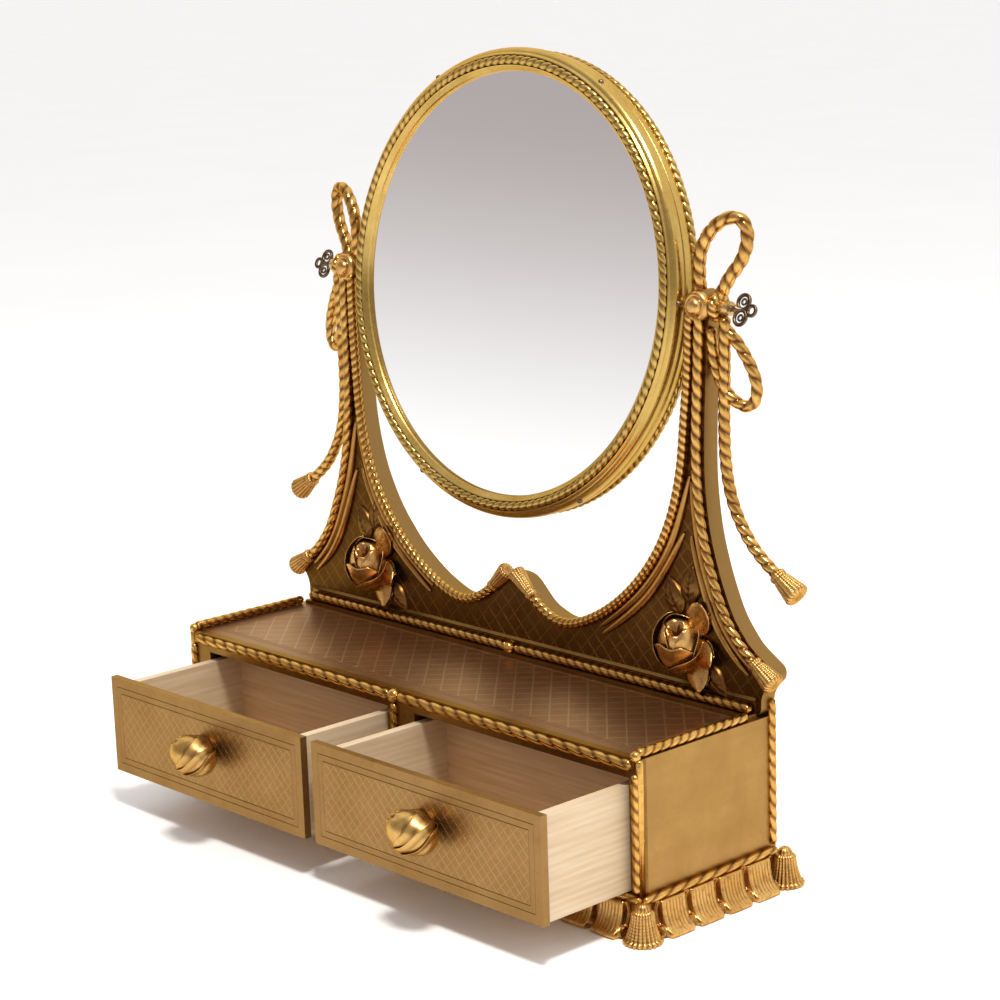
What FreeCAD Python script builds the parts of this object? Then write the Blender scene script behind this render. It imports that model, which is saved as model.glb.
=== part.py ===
import FreeCAD, Part

import math
import os
import re

import Sketcher

# A table-top dressing mirror: a round mirror that tilts between two carved
# posts, standing on a low case with two drawers. Millimetres, +Z up, +X to
# the right, front towards -Y. The origin is the centre of the plinth's
# underside. Both drawers are drawn out by "pulled_out" and the mirror leans
# back by "lean" degrees.

DRIVING = {
    "case_half": 217, "case_depth": 118, "plinth_rise": 26, "case_rise": 83.5,
    "frame_thick": 5.5, "panel_thick": 6.5, "top_thick": 10, "base_thick": 10,
    "opening_rise": 71, "opening_gap": 1.4, "divider_thick": 14, "plinth_wall": 12,
    "fringe_flare": 14, "fringe_rise": 21.5, "fringe_stop": 8.4, "corner_radius": 12,
    "plinth_rope": 2.6, "case_rope": 3.4, "post_rope": 3.1, "side_rope": 3,
    "front_near": 5.2, "front_long": 205, "front_lift": 1.1, "front_rise": 66.3,
    "front_thick": 5, "pulled_out": 67.8, "rest_gap": 0.3, "left_overlap": 15,
    "right_overlap": 3.3, "box_lift": 1.1, "box_depth": 94.5, "box_rise": 64.9,
    "side_thick": 6.5, "bottom_thick": 4,
    "knob_lift": 38, "knob_radius": 14, "knob_deep": 26, "lobe_radius": 9.5, "screw_radius": 1.9,
    "board_thick": 12, "rake": 1.5, "pivot_rise": 354.5, "pivot_out": 164.5,
    "pivot_back": 58.4, "stand_rope": 3.3, "rib_radius": 2.65,
    "boss_radius": 9.6, "boss_deep": 8.2, "knot_near": 174.3, "knot_far": 178,
    "knot_radius": 8.4, "upper_loop": 4.2, "lower_loop": 3.7,
    "tail_rope": 3.8, "tassel_neck": 4.3, "tassel_end": 7.2,
    "rose_wide": 20, "rose_tall": 18.5, "rose_deep": 16,
    "lean": 6.04, "sight_radius": 135.7, "glass_radius": 140.4,
    "axis_behind": 5, "glass_thick": 3, "backing_thick": 3.4,
    "front_ring": 142.35, "rear_ring": 146.75, "ring_rope": 2.95, "stud_radius": 2,
    "bush_radius": 3.1, "bush_start": 141.5, "washer_radius": 5, "washer_end": 154.2,
    "shank_radius": 2, "running_fit": 0.06, "shank_tip": 144,
    "collar_start": 178.5, "collar_radius": 4.3, "collar_long": 7.5,
    "bow_start": 194.5, "bow_turn": 22, "bow_apart": 4.75, "bow_ring": 4.5, "bow_wire": 1.2,
}

doc = FreeCAD.newDocument("dressing_mirror")
sheet = doc.addObject("Spreadsheet::Sheet", "sheet")
for row, (alias, amount) in enumerate(DRIVING.items(), start=1):
    sheet.set("A%d" % row, alias)
    sheet.set("B%d" % row, str(amount))
    sheet.setAlias("B%d" % row, alias)
doc.recompute()

nodes = []
UP = FreeCAD.Vector(0, 0, 1)
RIGHT = FreeCAD.Vector(1, 0, 0)
BACK = FreeCAD.Vector(0, 1, 0)
FRONT = FreeCAD.Vector(0, -1, 0)
SIDES = (("left", -1), ("right", 1))


# ---------------------------------------------------------------- helpers

def refer(text):
    """Spell out the sheet's aliases inside an expression."""
    full = lambda word: "sheet." + word.group() if word.group() in DRIVING else word.group()
    return re.sub(r"[a-z_]+", full, str(text))


def worth(text):
    """The number that an expression gives, worked out in a spare cell."""
    sheet.set("D1", "=" + str(text))
    sheet.recompute()
    return float(sheet.get("D1"))


def bind(thing, **expressions):
    """Tie an object's properties to the sheet."""
    for name, text in expressions.items():
        thing.setExpression(name, refer(text))


def seat(thing, x, y, z):
    """Tie an object's position to the sheet."""
    for axis, text in zip("xyz", (x, y, z)):
        thing.setExpression("Placement.Base." + axis, refer(text))
    return thing


def keep(thing, label):
    """Make an object one of the sub-parts that are written out."""
    thing.Label = label
    nodes.append(thing)
    return thing


def block(name, x_span, y_span, z_span):
    """A box, each span being two expressions."""
    thing = doc.addObject("Part::Box", name)
    for size, (low, high) in zip(("Length", "Width", "Height"), (x_span, y_span, z_span)):
        thing.setExpression(size, refer("(%s) - (%s)" % (high, low)))
    return seat(thing, x_span[0], y_span[0], z_span[0])


def rod(name, radius, length, base, towards=UP, sweep=360, turn=0):
    """A round bar, or a slice of one, from base along towards."""
    thing = doc.addObject("Part::Cylinder", name)
    thing.Angle = sweep
    aim = FreeCAD.Rotation(UP, towards) * FreeCAD.Rotation(UP, turn)
    thing.Placement = FreeCAD.Placement(FreeCAD.Vector(), aim)
    bind(thing, Radius=radius, Height=length)
    return seat(thing, *base)


def cone(name, first, last, length, base, towards):
    thing = doc.addObject("Part::Cone", name)
    aim = FreeCAD.Rotation(UP, FreeCAD.Vector(*towards))
    thing.Placement = FreeCAD.Placement(FreeCAD.Vector(), aim)
    bind(thing, Radius1=first, Radius2=last, Height=length)
    return seat(thing, *base)


def ball(name, radius, base):
    thing = doc.addObject("Part::Sphere", name)
    bind(thing, Radius=radius)
    return seat(thing, *base)


def dome(name, wide, tall, deep, base):
    """Half an ellipsoid that swells towards the front from a flat back."""
    thing = doc.addObject("Part::Ellipsoid", name)
    thing.Angle1 = 0
    thing.Placement = FreeCAD.Placement(FreeCAD.Vector(), FreeCAD.Rotation(RIGHT, 90))
    bind(thing, Radius1=deep, Radius2=wide, Radius3=tall)
    return seat(thing, *base)


def ring(name, radius, wire, base, towards=UP):
    thing = doc.addObject("Part::Torus", name)
    thing.Placement = FreeCAD.Placement(FreeCAD.Vector(), FreeCAD.Rotation(UP, towards))
    bind(thing, Radius1=radius, Radius2=wire)
    return seat(thing, *base)


def cut(name, body, tool):
    thing = doc.addObject("Part::Cut", name)
    thing.Base = body
    thing.Tool = tool
    return thing


def fuse(name, parts):
    thing = doc.addObject("Part::MultiFuse", name)
    thing.Shapes = parts
    return thing


def group(name, parts):
    """Several like solids that share one sub-part."""
    thing = doc.addObject("Part::Compound", name)
    thing.Links = parts
    return thing


def feature(name, shape):
    """A sub-part whose shape is worked out here, from the sheet's sizes."""
    thing = doc.addObject("Part::Feature", name)
    thing.Shape = shape
    thing.Placement = FreeCAD.Placement()
    return thing


def sketch_on(body, plane, polygons):
    """A sketch of closed polygons whose corners are pairs of expressions."""
    sketch = body.newObject("Sketcher::SketchObject", body.Name + "_sketch")
    face = next(part for part in body.Origin.OriginFeatures if part.Role == plane)
    sketch.AttachmentSupport = [(face, "")]
    sketch.MapMode = "FlatFace"
    for corners in polygons:
        add_polygon(sketch, corners)
    return sketch


def add_polygon(sketch, corners):
    places = [FreeCAD.Vector(worth(across), worth(along), 0) for across, along in corners]
    first = sketch.GeometryCount
    count = len(places)
    for index, place in enumerate(places):
        sketch.addGeometry(Part.LineSegment(place, places[(index + 1) % count]), False)
    for index in range(count):
        after = first + (index + 1) % count
        sketch.addConstraint(Sketcher.Constraint("Coincident", first + index, 2, after, 1))
    for index, pair in enumerate(corners):
        for kind, axis, text in zip(("DistanceX", "DistanceY"), (-2, -1), pair):
            hold_corner(sketch, first + index, kind, axis, text)


def hold_corner(sketch, edge, kind, axis, text):
    """Fix one coordinate of a corner; a zero puts the corner on the axis."""
    if abs(worth(text)) < 1e-9:
        sketch.addConstraint(Sketcher.Constraint("PointOnObject", edge, 1, axis))
        return
    rule = Sketcher.Constraint(kind, -1, 1, edge, 1, worth(text))
    number = sketch.addConstraint(rule)
    sketch.setExpression("Constraints[%d]" % number, refer(text))


def padded(name, plane, polygons, length):
    """A Body that is one Pad of a sketch."""
    body = doc.addObject("PartDesign::Body", name)
    pad = body.newObject("PartDesign::Pad", name + "_pad")
    pad.Profile = sketch_on(body, plane, polygons)
    bind(pad, Length=length)
    return body


def turned(name, corners):
    """A Body turned about its own Z axis from a profile of (radius, height)."""
    body = doc.addObject("PartDesign::Body", name)
    sketch = sketch_on(body, "XZ_Plane", [corners])
    spin = body.newObject("PartDesign::Revolution", name + "_turn")
    spin.Profile = sketch
    spin.ReferenceAxis = (sketch, ["V_Axis"])
    spin.Angle = 360
    return body


def offset(points, distance):
    """Move an open polyline sideways, to its right where distance is positive."""
    moved = []
    for index, (x, z) in enumerate(points):
        before = points[max(index - 1, 0)]
        after = points[min(index + 1, len(points) - 1)]
        run = math.hypot(after[0] - before[0], after[1] - before[1])
        right = ((after[1] - before[1]) / run, (before[0] - after[0]) / run)
        moved.append((x + right[0] * distance, z + right[1] * distance))
    return moved


def flip(points, sign):
    return [(sign * x, z) for x, z in points]


def arc_at(before, corner, after, share=0.45):
    """The arc that rounds a corner, as its start, middle and end."""
    first = (before - corner).normalize()
    last = (after - corner).normalize()
    reach = share * min((before - corner).Length, (after - corner).Length)
    half = first.getAngle(last) / 2
    radius = reach * math.tan(half)
    centre = corner + (first + last).normalize() * (radius / math.sin(half))
    middle = centre + (corner - centre).normalize() * radius
    return corner + first * reach, middle, corner + last * reach


def smooth_edges(places, closed):
    """Straight runs joined by tangent arcs through a list of vectors."""
    count = len(places)
    turns = range(count) if closed else range(1, count - 1)
    arcs = [arc_at(places[i - 1], places[i], places[(i + 1) % count]) for i in turns]
    stops = [spot for arc in arcs for spot in (arc[0], arc[2])]
    edges = [Part.Arc(*arc).toShape() for arc in arcs]
    if closed:
        stops = stops[1:] + stops[:1]
    else:
        stops = [places[0]] + stops + [places[-1]]
    edges += [Part.makeLine(a, b) for a, b in zip(stops[0::2], stops[1::2])]
    return Part.Wire(Part.__sortEdges__(edges))


def lift(points, y):
    return [FreeCAD.Vector(x, y, z) for x, z in points]


def rope(points, y, radius):
    """A round bar along a smooth route in the plane at y."""
    places = lift(points, y)
    route = smooth_edges(places, False)
    circle = Part.Circle(places[0], places[1] - places[0], radius)
    return route.makePipeShell([Part.Wire([circle.toShape()])], True, False)


def plate(points, y_front, y_back):
    """A slab with a smooth closed outline."""
    outline = smooth_edges(lift(points, y_front), True)
    return Part.Face(outline).extrude(BACK * (y_back - y_front))


def mirrored(half_points):
    """Close an outline from its right half, which runs down from the crest."""
    return half_points + [(-x, z) for x, z in reversed(half_points) if x > 0]


# ------------------------------------------------------------------- case

CASE_BACK = "case_depth / 2"
CASE_FRONT = "-case_depth / 2"
TOP = "plinth_rise + case_rise"
BOARD_FRONT = "case_depth / 2 - board_thick"


def span(sign, near, far):
    """The two faces of something between near and far, on either side."""
    return (near, far) if sign > 0 else ("-(%s)" % far, "-(%s)" % near)


def box_span(sign, inset):
    """The left and right faces of a drawer's box, moved in by inset.

    Both boxes sit towards the right of their fronts.
    """
    left = "front_near" if sign > 0 else "-front_near - front_long"
    return ("%s + left_overlap + (%s)" % (left, inset),
            "%s + front_long - right_overlap - (%s)" % (left, inset))


def make_case():
    whole = ("-case_half", "case_half")
    keep(block("base_board", whole, (CASE_FRONT, CASE_BACK),
               ("plinth_rise - base_thick", "plinth_rise")), "base_board")
    outer = block("plinth_outer", whole, (CASE_FRONT, CASE_BACK), ("0", "plinth_rise - base_thick"))
    inner = block("plinth_void", ("plinth_wall - case_half", "case_half - plinth_wall"),
                  ("plinth_wall - case_depth / 2", "case_depth / 2 - plinth_wall"),
                  ("-1", "plinth_rise"))
    brace = block("plinth_brace", ("-plinth_wall", "plinth_wall"),
                  ("plinth_wall - case_depth / 2", "case_depth / 2 - plinth_wall"),
                  ("0", "plinth_rise - base_thick"))
    keep(fuse("plinth_frame", [cut("plinth_ring", outer, inner), brace]), "plinth_frame")
    for side, sign in SIDES:
        panel = block("side_panel_" + side, span(sign, "case_half - panel_thick", "case_half"),
                      ("frame_thick - case_depth / 2", CASE_BACK), ("plinth_rise", TOP))
        keep(panel, "side_panel_" + side)
    top_half = "case_half - panel_thick"
    keep(block("case_top", ("-(%s)" % top_half, top_half),
               ("frame_thick - case_depth / 2", BOARD_FRONT), (TOP + " - top_thick", TOP)), "case_top")
    keep(block("case_back", ("-(%s)" % top_half, top_half), (BOARD_FRONT, CASE_BACK),
               ("plinth_rise", TOP)), "case_back")
    middle = "(left_overlap - right_overlap) / 2"
    keep(block("drawer_divider", (middle + " - divider_thick / 2", middle + " + divider_thick / 2"),
               ("frame_thick - case_depth / 2", BOARD_FRONT),
               ("plinth_rise", TOP + " - top_thick")), "drawer_divider")
    make_front_frame()


def make_front_frame():
    """Three stiles and a top rail in one flat frame over two openings."""
    foot = "plinth_rise"
    arch = "plinth_rise + opening_rise"
    outline = [("-case_half", TOP), ("-case_half", foot)]
    for side, sign in SIDES:
        left, right = box_span(sign, "-opening_gap")
        outline += [(left, foot), (left, arch), (right, arch), (right, foot)]
    outline += [("case_half", foot), ("case_half", TOP)]
    frame = padded("front_frame", "XZ_Plane", [outline], "frame_thick")
    seat(frame, "0", "frame_thick - case_depth / 2", "0")
    keep(frame, "front_frame")


def make_fringe():
    """Flared skirts round the plinth, with a tassel on each corner."""
    profile = [("0", "0"), ("fringe_flare", "0"), ("fringe_flare + 0.4", "3"),
               ("fringe_flare - 4", "6"), ("fringe_flare - 7.5", "13"),
               ("fringe_flare - 8.5", "fringe_rise"), ("0", "fringe_rise")]
    runs = (("front", "case_half - fringe_stop", -90, "0", CASE_FRONT),
            ("left", "case_depth / 2 - fringe_stop", 180, "-case_half", "0"),
            ("right", "case_depth / 2 - fringe_stop", 0, "case_half", "0"))
    for name, half, angle, x, y in runs:
        skirt = padded("fringe_" + name, "XZ_Plane", [profile], "2 * (%s)" % half)
        turn = FreeCAD.Rotation(UP, angle)
        skirt.Placement = FreeCAD.Placement(FreeCAD.Vector(), turn)
        along = turn.multVec(BACK)
        seat(skirt, "%s + %d * (%s)" % (x, round(along.x), half),
             "%s + %d * (%s)" % (y, round(along.y), half), "0")
        keep(skirt, "fringe_" + name)
    keep(group("corner_tassels", [corner_tassel(x, y) for x in (-1, 1) for y in (-1, 1)]),
         "corner_tassels")


def corner_tassel(x_sign, y_sign):
    name = "corner_%s_%s" % ("left" if x_sign < 0 else "right", "front" if y_sign < 0 else "rear")
    x = "%d * (case_half + 4)" % x_sign
    y = "%d * (case_depth / 2 + 4)" % y_sign
    skirt = cone(name + "_skirt", "corner_radius", "7", "fringe_rise - 2", (x, y, "0"), (0, 0, 1))
    knot = ball(name + "_knot", "4.6", (x, y, "fringe_rise - 1.3"))
    case = block(name + "_case", ("-case_half", "case_half"), (CASE_FRONT, CASE_BACK),
                 ("-1", "plinth_rise + 10"))
    return cut(name, fuse(name + "_whole", [skirt, knot]), case)


def make_case_ropes():
    """Rope mouldings: round the plinth, up the corners and along the top."""
    level = "fringe_rise + plinth_rope + 0.1"
    front = rod("plinth_rope_front", "plinth_rope", "2 * case_half - 4",
                ("2 - case_half", "-case_depth / 2 - plinth_rope", level), RIGHT)
    sides = [rod("plinth_rope_" + side, "plinth_rope", "case_depth - 4",
                 ("%d * (case_half + plinth_rope)" % sign, "2 - case_depth / 2", level), BACK)
             for side, sign in SIDES]
    keep(group("plinth_ropes", [front] + sides), "plinth_ropes")

    rail_z = "plinth_rise + 79"
    starts = (("left", "6 - case_half"), ("right", "5.4"))
    across = [half_rope("rail_rope_" + side, "case_rope", "case_half - 11.4",
                        (start, CASE_FRONT, rail_z), RIGHT) for side, start in starts]
    bead = dome("rail_bead", "5", "4.3", "4.6", ("0", CASE_FRONT, rail_z))
    edges = [rod("edge_rope_" + side, "side_rope", "case_depth - 23",
                 ("%d * (case_half - 3.2)" % sign, "2 - case_depth / 2", TOP + " + side_rope"), BACK)
             for side, sign in SIDES]
    keep(group("top_ropes", across + [bead] + edges), "top_ropes")

    places = (("left", "3.3 - case_half"), ("centre", "0"), ("right", "case_half - 3.3"))
    posts = [half_rope("stile_rope_" + name, "post_rope", "74",
                       (x, CASE_FRONT, "plinth_rise + 0.8"), UP) for name, x in places]
    rears = [rod("rear_rope_" + side, "post_rope", "case_rise + 10",
                 ("%d * case_half" % sign, "case_depth / 2 - post_rope", "plinth_rise + 1"), UP,
                 180, -90 * sign) for side, sign in SIDES]
    keep(group("upright_ropes", posts + rears), "upright_ropes")


def half_rope(name, radius, length, base, towards):
    """Half a round bar, its flat side against the case's front."""
    return rod(name, radius, length, base, towards, 180, 180)


# ------------------------------------------------------------------ stand

# Routes on the right half, in X and Z, each from the pivot down.
INNER_ROUTE = [(158.5, 343), (158, 316), (155, 284), (152.5, 252), (143.5, 219), (128, 191),
               (104, 165.5), (78, 148), (50, 137.5), (28, 145), (19, 153)]
OUTER_ROUTE = [(166.5, 343), (165.8, 316), (164.5, 281), (165, 248), (170, 216), (179, 189),
               (190, 165.5), (204, 149.5), (213, 143.5)]
UPPER_ROUTE = [(162, 352), (159, 378), (164, 395), (176, 407), (189, 408), (193.5, 397),
               (189, 382), (179, 371), (172, 356)]
LOWER_ROUTE = [(170.5, 343), (170.8, 331), (173, 318), (178, 307), (185, 299), (193, 295),
               (199, 298), (201, 306), (199, 316), (193, 327), (186, 337), (177, 345)]
LOOP_SWING = 16
TAIL_ROUTE = [(181, 350), (180.5, 316), (179.5, 288), (180, 262), (184.5, 239), (194, 221),
              (207, 206), (221, 197)]
HEAD = [(154.8, 350), (156.6, 361), (164.3, 366), (172.2, 361), (173.9, 350)]
HORN = [(230, 138.5), (216.5, 124.5)]
CREST = [(0, 165), (11, 163)]
LEAVES = [(16, 21), (4, 38), (22, -17), (-10, 25)]
ROSES = (("left", -142, 150), ("right", 156, 147))


def make_stand():
    front = worth(BOARD_FRONT)
    back = worth(CASE_BACK)
    hinge = FreeCAD.Vector(0, front, worth(TOP))
    turn = FreeCAD.Rotation(RIGHT, -worth("rake"))
    raked = FreeCAD.Placement(FreeCAD.Vector(), turn, hinge)
    pivot = FreeCAD.Vector(0, worth("pivot_back"), worth("pivot_rise"))
    bore = Part.makeCylinder(worth("shank_radius + running_fit"), 600,
                             FreeCAD.Vector(-300, pivot.y, pivot.z), RIGHT)

    board = make_board(front, back, raked).cut(bore)
    keep(feature("stand_board", board), "stand_board")
    make_foot()

    before = Part.makeBox(600, 200, 600, FreeCAD.Vector(-300, front - 200, 0))
    on_face = lambda shape: shape.common(before)
    radius = worth("stand_rope")
    tassels = []
    ribs = []
    for side, sign in SIDES:
        for name, route in (("inner", INNER_ROUTE), ("outer", OUTER_ROUTE)):
            bar = rope(flip(route, sign), front - 2.3, radius)
            label = "%s_rope_%s" % (name, side)
            keep(placed(feature(label, on_face(bar)), raked), label)
            reach = 23 if name == "inner" else 21
            end = tassel(flip(route, sign), front - 2.3, reach, 0.83 if name == "inner" else 1)
            tassels.append(on_face(end.cut(bar)).transformed(raked.toMatrix()))
        ribs += [on_face(bar) for bar in make_ribs(sign, front)]
        tassels.append(tassel(flip(TAIL_ROUTE, sign), front + 11, 21, 1.1))
    keep(feature("stand_tassels", Part.makeCompound(tassels)), "stand_tassels")
    keep(placed(feature("stand_ribs", Part.makeCompound(ribs)), raked), "stand_ribs")
    make_roses(front, ribs, raked)
    make_bosses(raked)
    make_bows(front, board)


def placed(thing, placement):
    thing.Placement = placement
    return thing


def make_board(front, back, raked):
    """The pierced board, leaning back a little from the case's upright back."""
    edge = offset(INNER_ROUTE, 1.8)
    outside = offset(OUTER_ROUTE, -4.5)
    foot = (worth("case_half"), worth(TOP + " + rest_gap") + 0.05)
    right = CREST + edge[::-1] + HEAD + outside + HORN + [foot]
    return plate(mirrored(right), front, back).transformed(raked.toMatrix())


def make_ribs(sign, front):
    """Pairs of half-round beads beside the ropes, below the narrow posts."""
    radius = worth("rib_radius")
    first = worth("stand_rope + rib_radius") + 0.25
    second = first + 2 * radius + 0.2
    routes = [offset(INNER_ROUTE, -first)[3:9], offset(INNER_ROUTE, -second)[5:9],
              offset(OUTER_ROUTE, first)[4:9], offset(OUTER_ROUTE, second)[5:8]]
    return [rope(flip(route, sign), front - 0.2, radius) for route in routes]


def tassel(route, y, length, size):
    """A cone that carries a rope's last run on, widening to its end."""
    (x1, z1), (x2, z2) = route[-2:]
    aim = FreeCAD.Vector(x2 - x1, 0, z2 - z1)
    neck = worth("tassel_neck") * size
    end = worth("tassel_end") * size
    return Part.makeCone(neck, end, length * 0.95, FreeCAD.Vector(x2, y, z2), aim)


def make_foot():
    """A ledge along the foot of the board, with a rope lying on it."""
    step = "2.4"
    ledge = padded("foot_moulding", "YZ_Plane", [[
        ("0", "0"), ("0", "12"), ("-1.7", "10.4"), ("-0.2", "9.2"), ("-0.2", step),
        ("-7.5", step), ("-7.5", "0")]], "2 * (case_half - 4)")
    seat(ledge, "4 - case_half", BOARD_FRONT, TOP)
    keep(ledge, "foot_moulding")
    line = rod("foot_rope", "post_rope", "2 * (case_half - 5)",
               ("5 - case_half", BOARD_FRONT + " - 3.5", TOP + " + post_rope + " + step), RIGHT)
    keep(line, "foot_rope")


def swung(shape, sign):
    """Turn a bow's loop so that its far end goes back."""
    shape.rotate(FreeCAD.Vector(sign * 164, worth("pivot_back"), 0), UP, sign * LOOP_SWING)
    return shape


def mound(x, z, wide, tall, deep, y, tilt=0):
    """Half an ellipsoid on the board's face."""
    shape = Part.makeSphere(1, FreeCAD.Vector(), BACK)
    grow = FreeCAD.Matrix()
    grow.scale(wide, deep, tall)
    shape = shape.transformGeometry(grow)
    shape = shape.common(Part.makeBox(200, 100, 200, FreeCAD.Vector(-100, -100, -100)))
    shape.rotate(FreeCAD.Vector(), BACK, tilt)
    shape.translate(FreeCAD.Vector(x, y, z))
    return shape


def make_roses(front, ribs, raked):
    """A bloom on each side of the crest, with leaves tucked under it."""
    leaves = []
    rope_parts = [node.Shape.copy() for node in nodes if "_rope_" in node.Name
                  and node.Name.split("_")[0] in ("inner", "outer")]
    back_home = raked.inverse().toMatrix()
    near = ribs + [part.transformed(back_home) for part in rope_parts]
    for side, x, z in ROSES:
        bloom = mound(x, z, worth("rose_wide"), worth("rose_tall"), worth("rose_deep"), front)
        for part in near:
            bloom = bloom.cut(part)
        keep(placed(feature("rose_" + side, bloom), raked), "rose_" + side)
        for across, along in LEAVES:
            tilt = -math.degrees(math.atan2(along, across))
            leaf = mound(x + across, z + along, 11, 6.5, 4.5, front, tilt)
            for part in [bloom] + near + leaves:
                leaf = leaf.cut(part)
            leaves += leaf.Solids
    keep(placed(feature("rose_leaves", Part.makeCompound(leaves)), raked), "rose_leaves")


def make_bows(front, board):
    """A rope bow at each pivot: a knot, two loops and a hanging tail."""
    for side, sign in SIDES:
        knot = turned("knot_turn_" + side, [
            ("shank_radius + running_fit", "0"), ("knot_radius", "0"), ("knot_radius", "1.5"),
            ("5", "knot_far - knot_near"),
            ("shank_radius + running_fit", "knot_far - knot_near")])
        knot.Placement.Rotation = FreeCAD.Rotation(UP, RIGHT * sign)
        seat(knot, "%d * knot_near" % sign, "pivot_back", "pivot_rise")
        keep(knot, "bow_knot_" + side)
        doc.recompute()
        bar = Part.makeCylinder(worth("shank_radius + running_fit"), 60,
                                FreeCAD.Vector(sign * 150, worth("pivot_back"), worth("pivot_rise")),
                                RIGHT * sign)
        others = [board, knot.Shape.copy(), bar]
        for name, route, y, size in (("upper_loop", UPPER_ROUTE, front + 13.2, "upper_loop"),
                                     ("lower_loop", LOWER_ROUTE, front + 7.3, "lower_loop"),
                                     ("tail_rope", TAIL_ROUTE, front + 11, "tail_rope")):
            loop = rope(flip(route, sign), y, worth(size))
            if name != "tail_rope":
                loop = swung(loop, sign)
            for other in others:
                loop = loop.cut(other)
            biggest = max(loop.Solids, key=lambda part: part.Volume)
            keep(feature(name + "_" + side, biggest), name + "_" + side)
            others.append(biggest)


def make_bosses(raked):
    """Ringed bosses on the board's face in front of the pivots."""
    bosses = []
    for side, sign in SIDES:
        boss = turned("boss_turn_" + side, [
            ("0", "0"), ("boss_radius", "0"), ("boss_radius", "2.4"), ("7.6", "5"),
            ("6.4", "4.8"), ("5.4", "6.6"), ("3.6", "6.4"), ("2.2", "boss_deep"),
            ("0", "boss_deep")])
        boss.Placement.Rotation = FreeCAD.Rotation(UP, FRONT)
        seat(boss, "%d * pivot_out" % sign, BOARD_FRONT, "pivot_rise + 0.5")
        bosses.append(boss)
    pair = group("pivot_bosses", bosses)
    keep(placed(pair, raked), "pivot_bosses")


# ----------------------------------------------------------------- mirror

def make_mirror():
    aim = FreeCAD.Rotation(RIGHT, 90 - worth("lean"))

    def tilted(thing):
        thing.Placement.Rotation = aim
        return seat(thing, "0", "pivot_back", "pivot_rise")

    ahead = lambda off: "axis_behind + %g" % off
    front = tilted(turned("front_frame_turn", [
        ("sight_radius", ahead(3)), ("sight_radius", ahead(4.8)),
        ("front_ring - 3.05", ahead(8.6)), ("front_ring - 3", ahead(4.6)),
        ("front_ring + 3", ahead(4.6)), ("front_ring + 3", ahead(8)),
        ("front_ring + 3.9", ahead(8)), ("front_ring + 4.4", ahead(5.4)),
        ("front_ring + 6", ahead(4.7)), ("150.2", ahead(3)), ("150.7", ahead(0.6)),
        ("150.5", ahead(-1.8)), ("149.6", ahead(-3.5)),
        ("glass_radius + 0.2", ahead(-3.5)), ("glass_radius + 0.2", ahead(3))]))
    rear = tilted(turned("rear_frame_turn", [
        ("134", ahead(-3.5)), ("149.4", ahead(-3.5)), ("149.9", ahead(-6)), ("149.3", ahead(-10)),
        ("147.6", ahead(-12.2)), ("rear_ring - 3", ahead(-12.2)), ("rear_ring - 3", ahead(-16.5)),
        ("138", ahead(-17.5)), ("134", ahead(-14))]))
    bores = [rod("bush_bore_" + side, "bush_radius", "12",
                 ("%d * bush_start" % sign, "pivot_back", "pivot_rise"), RIGHT * sign)
             for side, sign in SIDES]
    both = group("bush_bores", bores)
    front = cut("mirror_front_frame", front, both)
    keep(front, "mirror_front_frame")
    keep(cut("mirror_rear_frame", rear, both), "mirror_rear_frame")
    make_glass(aim)
    for name, radius, off in (("front_ring_rope", "front_ring", 7.6),
                              ("rear_ring_rope", "rear_ring", -15.2)):
        line = ring(name, radius, "ring_rope", ("0", "0", "0"))
        line.Placement.Rotation = aim
        along = aim.multVec(UP)
        seat(line, "0", "pivot_back + %.6f * (%s)" % (along.y, ahead(off)),
             "pivot_rise + %.6f * (%s)" % (along.z, ahead(off)))
        keep(line, name)
    make_studs(front, aim)
    keep(group("pivot_bushes", [make_bush(side, sign) for side, sign in SIDES]), "pivot_bushes")


def make_glass(aim):
    along = aim.multVec(UP)
    layers = (("mirror_glass", "axis_behind", "glass_thick"),
              ("mirror_backing", "axis_behind - backing_thick", "backing_thick"))
    for name, start, thick in layers:
        disc = rod(name, "glass_radius", thick, ("0", "0", "0"))
        disc.Placement.Rotation = aim
        seat(disc, "0", "pivot_back + %.6f * (%s)" % (along.y, start),
             "pivot_rise + %.6f * (%s)" % (along.z, start))
        keep(disc, name)


def make_studs(frame, aim):
    """Six small studs round the rim."""
    balls = []
    for number in range(6):
        angle = math.radians(60 * number)
        spot = FreeCAD.Vector(150 * math.cos(angle), 150 * math.sin(angle), worth("axis_behind") + 2.4)
        spot = aim.multVec(spot)
        balls.append(ball("stud_%d" % number, "stud_radius", (
            "%.4f" % spot.x, "pivot_back + %.4f" % spot.y, "pivot_rise + %.4f" % spot.z)))
    keep(cut("frame_screws", group("stud_balls", balls), frame), "frame_screws")


def make_bush(side, sign):
    """A lined hole for the thumbscrew's tip, with a washer outside the rim."""
    axis = ("pivot_back", "pivot_rise")
    sleeve = rod("bush_sleeve_" + side, "bush_radius", "washer_end - bush_start",
                 ("%d * bush_start" % sign,) + axis, RIGHT * sign)
    washer = rod("bush_washer_" + side, "washer_radius", "washer_end - 150.9",
                 ("%d * 150.9" % sign,) + axis, RIGHT * sign)
    hole = rod("bush_hole_" + side, "shank_radius + running_fit", "30",
               ("%d * (bush_start + 1)" % sign,) + axis, RIGHT * sign)
    return cut("bush_" + side, fuse("bush_whole_" + side, [sleeve, washer]), hole)


# ---------------------------------------------------------------- drawers

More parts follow.
